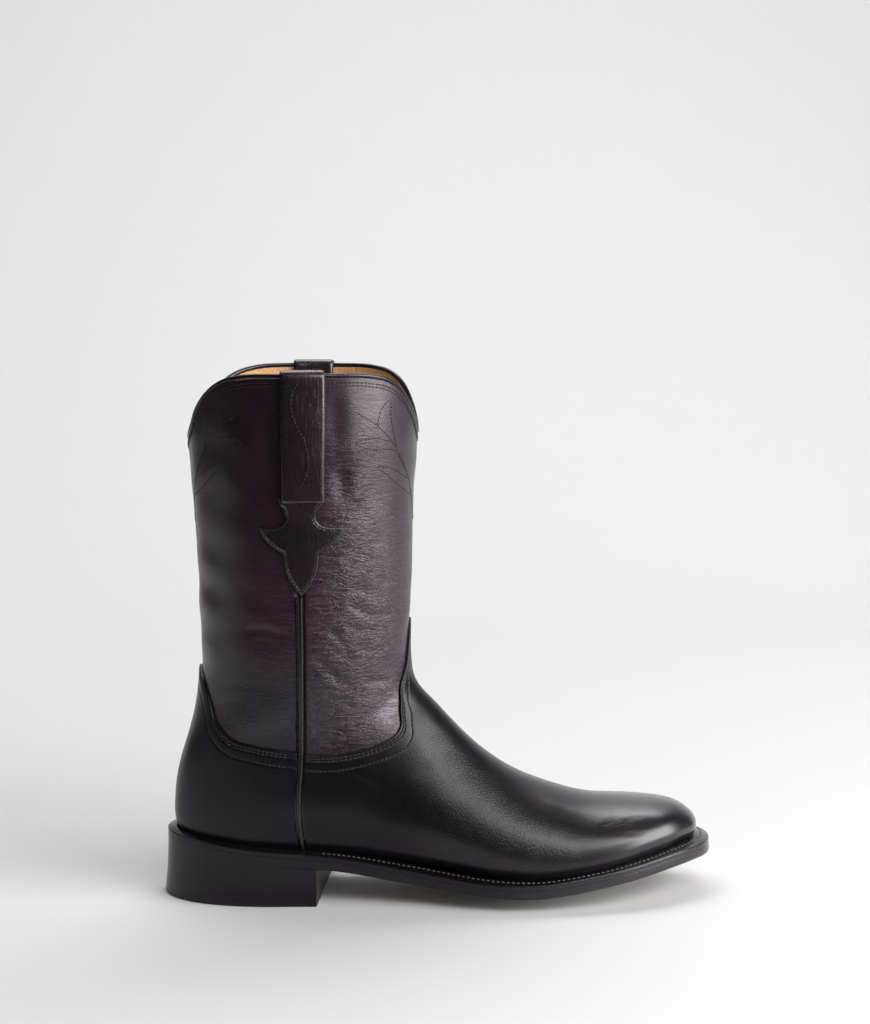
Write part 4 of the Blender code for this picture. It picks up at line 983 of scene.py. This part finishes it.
# Stitching: black waxed thread in short lockstitches, each a little barrel lying in its hole-to-hole dip. Rows
# follow the panels' edges, the collar, the tabs and straps, and a branch is sewn on the front and back of the
# shaft.
thread, thread_tree, thread_shader = principled("thread", Base_Color=(0.018, 0.015, 0.018, 1), Roughness=0.36)
twist = node(thread_tree, "ShaderNodeTexWave", Vector=node(thread_tree, "ShaderNodeTexCoord").outputs["Object"],
             Scale=900.0, Distortion=0.4, bands_direction="DIAGONAL")
thread_tree.links.new(bump(thread_tree, twist.outputs["Fac"], 0.5, 0.0002), thread_shader.inputs["Normal"])


def even_steps(line, normal, pitch):
    """places, normals and directions of stitches along a line of points, a pitch apart"""
    way = way_along(line)
    count = max(2, int(way[-1] / pitch))
    at = (np.arange(count) + 0.5) * way[-1] / count
    before, after = (read_along(at + step * pitch, way, line) for step in (-0.4, 0.4))
    return read_along(at, way, line), unit(read_along(at, way, normal)), unit(after - before)


def stitches(name, lines, pitch, thick, lift=0.0, long=0.78, material=thread):
    """barrels for stitches along (points, normals) lines: six rings of six points on an arch from hole to hole,
    whose ends dip into the leather"""
    place, out, run = (np.concatenate(part) for part in zip(*(even_steps(*line, pitch) for line in lines)))
    beside = unit(np.cross(out, run))
    axes = np.stack([run, beside, np.cross(run, beside)], 1)
    along = np.array([-1.0, -0.82, -0.4, 0.4, 0.82, 1.0])[:, None] * pitch * long / 2
    radius = np.array([0.35, 0.8, 1.0, 1.0, 0.8, 0.35])[:, None] * thick / 2
    high = np.array([-0.75, -0.15, 0.1, 0.1, -0.15, -0.75])[:, None] * thick / 2 + lift
    turn = np.linspace(0, 2 * np.pi, 6, endpoint=False)
    barrel = np.stack(np.broadcast_arrays(along, radius * np.cos(turn), high + radius * np.sin(turn)), -1)
    points = place[:, None] + barrel.reshape(-1, 3) @ axes
    ends = np.array([[0, 5, 4, 3], [0, 3, 2, 1], [30, 31, 32, 33], [30, 33, 34, 35]])
    faces = np.concatenate([grid_quads(6, 6, closed_columns=True), ends])
    copies = faces + 36 * np.arange(len(points))[:, None, None]
    return make_piece(name, points, copies.reshape(-1, 4), material, 70)


def sewn_line(chart, relief, sink=0.0):
    """points and normals of a row of stitches at chart points, on the face that a relief gives the leather"""
    surface, normal = lean_in(chart, 1, sink), last_normal(chart)
    return surface + normal * relief(surface)[:, None], normal


panel_rows = [sewn_line(chart_along(PANEL_PATHS, (PANEL_LENGTH[columns] - row)[None], columns)[0], vamp_relief,
                        STITCH_SINK) for columns in (round_toe[9:-9], round_back[9:-9]) for row in STITCH_ROWS]
panel_stitches = stitches("panel_stitches", panel_rows, 0.0024, 0.00065, 0.00008)

COLLAR_ROWS = (0.0024, 0.0040)
whole_turn = np.append(np.arange(COLUMNS), 0)
collar_rows = [sewn_line(chart_along(SHAFT_PATHS, (SHAFT_LENGTH - row)[None])[0][whole_turn], shaft_relief)
               for row in COLLAR_ROWS]
collar_stitches = stitches("collar_stitches", collar_rows, 0.0022, 0.0006, 0.00012)

# the branch: a stem and its shoots, in millimetres along and up the shaft's front, mirrored to its back
BRANCH = (
    ((95, 205), (94.5, 216), (93, 228), (89.5, 240), (84.5, 250), (77, 259), (67, 266)),
    ((84.5, 250), (76, 252.5), (66, 250.5), (74, 246.5), (85, 245.5), (91.5, 234)),
    ((77, 259), (79, 267), (83.5, 272), (84, 263), (87, 245)),
    ((92.5, 229), (84, 236), (77.5, 237.5), (84, 230.5), (93.8, 220)),
)


def rounded(line, count=60):
    """a curve through the table's points, one soft arc from each to the next"""
    line = np.array(line, float)
    way = way_along(line)
    even = np.linspace(0, way[-1], count)
    return np.stack([table_value(np.column_stack([way, column]), even) for column in line.T], -1)


SHAFT_MIDDLE = 36.6
branch_lines = []
for side, word in SIDES:
    for mirrored in (False, True):
        for x, height in (rounded(shoot).T for shoot in BRANCH):
            x = 2 * SHAFT_MIDDLE - x if mirrored else x
            branch_lines.append(sewn_line(shaft_chart_at(side, x / 1000, height / 1000), shaft_relief))
branch_stitches = stitches("branch_stitches", branch_lines, 0.0019, 0.00055, 0.00006)

# the tab is sewn all round, and the strap along a wave: millimetres from its middle and below the rim
WAVE = ((-2.1, -2), (-4.8, -7), (-5.5, -12), (-5.0, -18), (-2.6, -24.5), (0.2, -30), (2.2, -37), (2.8, -43),
        (1.6, -49), (-1.2, -55), (-4.6, -58.5))
trim_lines = []
for side, word in SIDES:
    plan = tab_outline(SEWN_IN)[14:-14]
    above = tab_place(side, plan, GAP + TAB_THICK * 0.9)
    trim_lines.append((above, unit(above - tab_place(side, plan, 0))))
    x, height = (rounded(WAVE, 120) / 1000).T
    lift = STRAP_THICK + 2 * GAP + strap_belly(x / STRAP_WIDTH * 2, BOOT_HEIGHT + height)
    above, face = (shaft_surface(side, STRAP_X + x, BOOT_HEIGHT + height, depth) for depth in (-lift, 0))
    trim_lines.append((above, unit(above - face)))
trim_stitches = stitches("trim_stitches", trim_lines, 0.0020, 0.00055, 0.00006)

# Sole: everything under the upper follows the feather line. The welt is a strip of leather sewn round the
# forefoot, the heel seat fills its layer behind the seams, and below them runs one outsole. Edges are inked and
# burnished.
WELT_THICK = 0.003
WELT_REACH = 0.009
WELT_MARGIN = 0.0082
HEEL_MARGIN = 0.0048
CROWN = ((0, 0.3), (8, 0.9), (17, 1.0), (33, 1.1), (44, 1.9), (54, 3.0), (61, 3.5), (68, 3.45), (74, 3.4),
         (81, 2.7), (86, 1.9), (92, 1.0), (97, 0.3))
EDGE_DROP = ((0, 0.55), (17, 0.45), (33, 0.6), (44, 0.75), (54, 0.6), (63, 0.35), (70, 0.2), (86, 0.2),
             (92, 0.4), (97, 0.8))
MARGIN_BLEND = ((0, 0), (26, 0), (34, 0.35), (44, 0.85), (53, 1), (86, 1), (93, 1.05), (97.6, 1.2), (100, 1.22))
every = np.concatenate([np.arange(0, SEAM_START, 2), [SEAM_START + 4, SEAM_MIDDLE, SEAM_MIDDLE + 5],
                        np.arange(SEAM_END, SIDE_COLUMNS, 2)])
sole_columns = np.concatenate([every, COLUMNS - every[:0:-1]])
sole_columns = sole_columns[sole_columns < COLUMNS]
feather = last_point(FEATHER_CHART)[sole_columns]
feather[:, 2] = feather_height(feather[:, 0])
sole_count = len(feather)
partner = (-np.arange(sole_count)) % sole_count
run = np.roll(feather, -1, 0) - np.roll(feather, 1, 0)
outward = unit(np.stack([run[:, 1], -run[:, 0], 0 * run[:, 0]], -1))
half_loop = (feather + feather[partner])[:sole_count // 2 + 1] / 2
spine_x = np.clip(((feather + feather[partner]) / 2)[:, 0], half_loop[0, 0] + 0.1 * SOLE_LENGTH,
                  half_loop[-1, 0] - 0.1 * SOLE_LENGTH)
spine = np.stack([spine_x, np.interp(spine_x, half_loop[:, 0], half_loop[:, 1]),
                  feather_height(spine_x) - table_value(CROWN, percent_x(spine_x)) / 100 * LAST_HEIGHT], -1)
half_width = np.linalg.norm((feather - spine)[:, :2], axis=1)


def bed(share):
    """a ring of the curved bed that the upper stands on, from its spine (0) over the insole's edge (1) to the
    feather line (2). It hangs from the feather line to the spine in a flat-bottomed curve"""
    place = feather - outward * WELT_REACH * min(2 - share, 1)
    place = spine + (place - spine) * min(share, 1)
    reach = np.linalg.norm((place - spine)[:, :2], axis=1) / half_width
    place[:, 2] = spine[:, 2] + (feather[:, 2] - spine[:, 2]) * (1 - np.clip(1 - reach ** 2, 0, 1) ** 1.5)
    return place


def below(line, depth):
    return line - np.array([0, 0, depth])


def bed_rings(shares, depth):
    return [below(bed(share), depth) for share in shares]


sole_share = percent_x(feather[:, 0])
margin = HEEL_MARGIN + (WELT_MARGIN - HEEL_MARGIN) * table_value(MARGIN_BLEND, sole_share)
rim = feather + outward * margin[:, None]
rim[:, 2] = feather[:, 2] - table_value(EDGE_DROP, sole_share) / 100 * LAST_HEIGHT
# the edge stands square to the sole, so where the toe springs up it leans back by this share of its height
TOE_LEAN = 0.10
round_the_toe = ramp(feather[:, :1], 0.15, 0.07)


def edge_profile(top, bottom, ease_top, ease_bottom, steps=7):
    """rings of a layer's upright edge from its top corner to its bottom one, each corner rounded by its own
    ease"""
    quarter = np.linspace(0, np.pi / 2, 5)
    up = np.array([0, 0, 1])
    upper, lower = ([place + (outward * (np.sin(angle) - 1) + inward * (1 - np.cos(angle))) * ease
                     for angle in quarter]
                    for place, ease, inward in ((top, ease_top, -up), (bottom, ease_bottom, up)))
    between = [upper[-1] + (bottom + up * ease_bottom - upper[-1]) * share
               for share in np.linspace(0, 1, steps)[1:-1]]
    lean = outward * TOE_LEAN * round_the_toe
    return [ring - lean * np.clip(ring - rim + SOLE_STACK, 0, 1)[:, 2:]
            for ring in upper + between + lower[::-1]]


def burnished(name, dark, tint, gloss):
    """sole leather cut across its fibres: inked dark, rubbed glossy, with faint streaks along the edge"""
    made = hide(name, dark, tint, gloss, pebble=0.0, coat=0.08, coat_gloss=0.25, tint_size=0.03, shine=0.32,
                glow=(0.96, 0.92, 1.0), polished=True)
    tree = made.node_tree
    streaks = noise(tree, stretched(tree, (60, 60, 1500)), 1.0, 3.0, 0.6)
    tree.links.new(bump(tree, streaks, 0.10, 0.0003), tree.nodes["Principled BSDF"].inputs["Normal"])
    return made


HEEL_DEPTH = 0.087
breast_x = HEEL_DEPTH - HEEL_CENTRE
inked = burnished("sole_edge", (0.0048, 0.0028, 0.0050), (0.0135, 0.0065, 0.0110), 0.24)
FLUSH, HAIR, LAYER_OVERLAP = 0.00006, 0.00002, 0.0003
sole_seam = feather[np.flatnonzero(sole_columns == SEAM_MIDDLE)[0], 0]
forward = np.flatnonzero(feather[:, 0] > sole_seam - LAYER_OVERLAP)
behind = np.roll(np.arange(sole_count), sole_count // 2)
behind = behind[feather[behind, 0] < sole_seam + LAYER_OVERLAP]


def on_top(share, sink=0.0):
    """a ring on the welt's top, at a share of the way from the feather line to its edge"""
    return below(feather + (rim - feather) * share, GAP + sink)


welt_edge = edge_profile(below(rim, GAP), below(rim, WELT_THICK), 0.0005, FLUSH)
# the welt's top has a channel for its stitches
CHANNEL, CHANNEL_DEPTH = 0.44, 0.00025
top_rings = [on_top(0.0), on_top(0.18), on_top(0.36), on_top(CHANNEL, CHANNEL_DEPTH), on_top(0.52), on_top(0.66)]
welt_loops = np.array(bed_rings([1], GAP) + top_rings + welt_edge + bed_rings([2, 1], WELT_THICK))
welt_hide = burnished("welt_edge", (0.0036, 0.0026, 0.0038), (0.0100, 0.0060, 0.0080), 0.28)
welt = round_solid("welt_strip", welt_loops[:, forward], False, welt_hide, 50, merge=True)
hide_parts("welt")
seat_loops = np.array(bed_rings([0, 0.35, 0.7, 1], GAP) + [on_top(0.0), on_top(0.5), on_top(0.66)] + welt_edge
                      + bed_rings([2, 1, 0.7, 0.35, 0], WELT_THICK))
heel_seat = round_solid("heel_seat_leather", seat_loops[:, behind], False, inked, 50, merge=True)
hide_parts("heel_seat")

OUTSOLE_TOP = WELT_THICK + HAIR
TREAD_EASE, TOE_EASE = 0.0008, 0.0010
SOLE_SHARES = (0, 0.15, 0.32, 0.5, 0.68, 0.85, 1, 2)
before_heel = ramp(feather[:, :1], breast_x, 0.006)
low_ease = FLUSH + (TREAD_EASE - FLUSH + TOE_EASE * round_the_toe) * before_heel
over = bed_rings(SOLE_SHARES, OUTSOLE_TOP)
sole_edge_rings = edge_profile(below(rim, OUTSOLE_TOP), below(rim, SOLE_STACK), FLUSH, low_ease)
sole_loops = np.array(over + sole_edge_rings + bed_rings(SOLE_SHARES[::-1], SOLE_STACK))
lower_half = np.arange(len(sole_loops)) > len(over) + len(sole_edge_rings) // 2
sole_loops[lower_half, :, 2] = np.maximum(sole_loops[lower_half, :, 2], 0)
sole_quads = grid_quads(*sole_loops.shape[:2], closed_columns=True)
outsole = make_piece("outsole_leather", sole_loops, sole_quads, inked, 50, merge=True)
tan_sole = hide("outsole_face", (0.105, 0.058, 0.030), (0.150, 0.085, 0.045), 0.48, pebble=0.05, coat=0.1,
                tint_size=0.03, polished=True)


def cut_face(piece, material, axis, limit):
    """a second material on every face whose normal leans towards an axis by more than a limit"""
    piece.data.materials.append(material)
    facing = np.empty(len(piece.data.polygons) * 3, np.float32)
    piece.data.polygons.foreach_get("normal", facing)
    chosen = facing.reshape(-1, 3) @ np.array(axis, np.float32) > limit
    piece.data.polygons.foreach_set("material_index", chosen.astype(np.int32))


cut_face(outsole, tan_sole, (0, 0, -1), 0.75)
for piece in (outsole, welt):
    paint(piece, "polish", 0.7 * ramp(piece_points(piece)[:, 0], 0.14, 0.05))
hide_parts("outsole")

# Heel: a low block of stacked leather, pared to one smooth flared face and burnished until its layers don't
# show. The breast is cut across a little askew and left rougher and browner.
HEEL_FLARE = 0.002
BREAST_SKEW = 0.0067 / BALL_WIDTH
SKEW_START = 0.005


def to_breast(ring):
    """a ring's part behind the breast: it starts and ends where the ring crosses it, and leans to the breast's
    slant as it comes near"""
    ordered = np.roll(ring, sole_count // 2, 0)
    ordered = ordered[np.roll(feather[:, 0], sole_count // 2) < breast_x + 0.006]
    ends = [two + (one - two) * (breast_x - two[0]) / (one[0] - two[0])
            for one, two in ((ordered[0], ordered[1]), (ordered[-1], ordered[-2]))]
    keep = ordered[ordered[:, 0] < breast_x - 0.0006]
    made = np.concatenate([[ends[0]], keep, [ends[1]]])
    made[:, 0] += BREAST_SKEW * made[:, 1] * eased(ramp(made[:, 0], SKEW_START, breast_x - SKEW_START))
    return made


def under_sole(points):
    """height of the sole's underside over these places, less a hair: the nearest of a cloud of its own
    points"""
    shares = np.concatenate([np.linspace(0.02, 1, 40), np.linspace(1, 2, 12)])
    cloud = np.concatenate(bed_rings(shares, SOLE_STACK + GAP))
    cloud = cloud[cloud[:, 0] < breast_x + 0.02]
    flat = points.reshape(-1, 3)
    gap = ((flat[:, None, :2] - cloud[None, :, :2]) ** 2).sum(-1)
    return cloud[gap.argmin(1), 2].reshape(points.shape[:-1])


def flat_fill(ring):
    """rows of points across the heel, each joining a point of one side to its partner on the other"""
    half = len(ring) // 2
    one, two = ring[:half, None], ring[::-1][:half, None]
    return one * (1 - cross) + two * cross


heel_top = below(rim, SOLE_STACK + HAIR)
foot = rim + outward * HEEL_FLARE
foot[:, 2] = 0
heel_rings = []
down = np.concatenate([[0.0, 0.006, 0.02, 0.04], np.linspace(0.08, 0.9, 12), [0.95, 0.972, 0.985, 0.995, 1.0]])
for share in down:
    drawn_in = 0.0007 * ramp(share, 0.96, 0.04) ** 2 + 0.0004 * np.sin(np.pi * share)
    heel_rings.append(evenly(to_breast(heel_top + (foot - heel_top) * share - outward * drawn_in), 150))
heel_rings = np.array(heel_rings)
cross = np.linspace(0, 1, 24)[:, None]
block_top, block_foot = flat_fill(heel_rings[0]), flat_fill(heel_rings[-1])
block_top[..., 2] = np.minimum(block_top[..., 2], under_sole(block_top))
breast_face = heel_rings[:, :1] + (heel_rings[:, -1:] - heel_rings[:, :1]) * cross
breast_face[0] = block_top[0]
parts = [heel_rings, block_top, block_foot, breast_face]
starts = np.cumsum([0] + [part[..., 0].size for part in parts])
heel_faces = [grid_quads(*part.shape[:2], start) for part, start in zip(parts, starts)]
heel = make_piece("heel_block", np.concatenate([part.reshape(-1, 3) for part in parts]), heel_faces, inked, 45,
                  merge=True)
rough_breast = hide("heel_breast", (0.024, 0.015, 0.012), (0.040, 0.024, 0.018), 0.62, pebble=0.6, coat=0.0)
cut_face(heel, rough_breast, (1, 0, 0), 0.8)
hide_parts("heel")

# Welt stitching: a heavier waxed thread in a shallow channel along the welt, from seam to seam round the toe.
# The thread is dark grey, and its colour is set paler than that: a painted highlight where its crests catch
# light.
welt_thread_painted_highlight = thread.copy()
welt_thread_painted_highlight.name = "welt_thread_painted_highlight"
# the thread's dark grey is set paler here, a painted highlight on its crests
welt_thread_painted_highlight.node_tree.nodes["Principled BSDF"].inputs["Base Color"].default_value = (0.105, 0.095, 0.10, 1)
sewn = on_top(CHANNEL, 0.0001)[forward][3:-3]
welt_stitches = stitches("welt_stitches", [(sewn, np.tile([0.0, 0, 1], (len(sewn), 1)))], 0.0027, 0.0008,
                         long=0.70, material=welt_thread_painted_highlight)

# Insole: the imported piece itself, in the lining's pale leather, rubbed smoother.
sock = hide("insole_leather", (0.36, 0.215, 0.11), (0.44, 0.27, 0.145), 0.52, pebble=0.2, coat=0.0,
            tint_size=0.03)
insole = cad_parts["insole"]
insole.data.materials.clear()
insole.data.materials.append(sock)
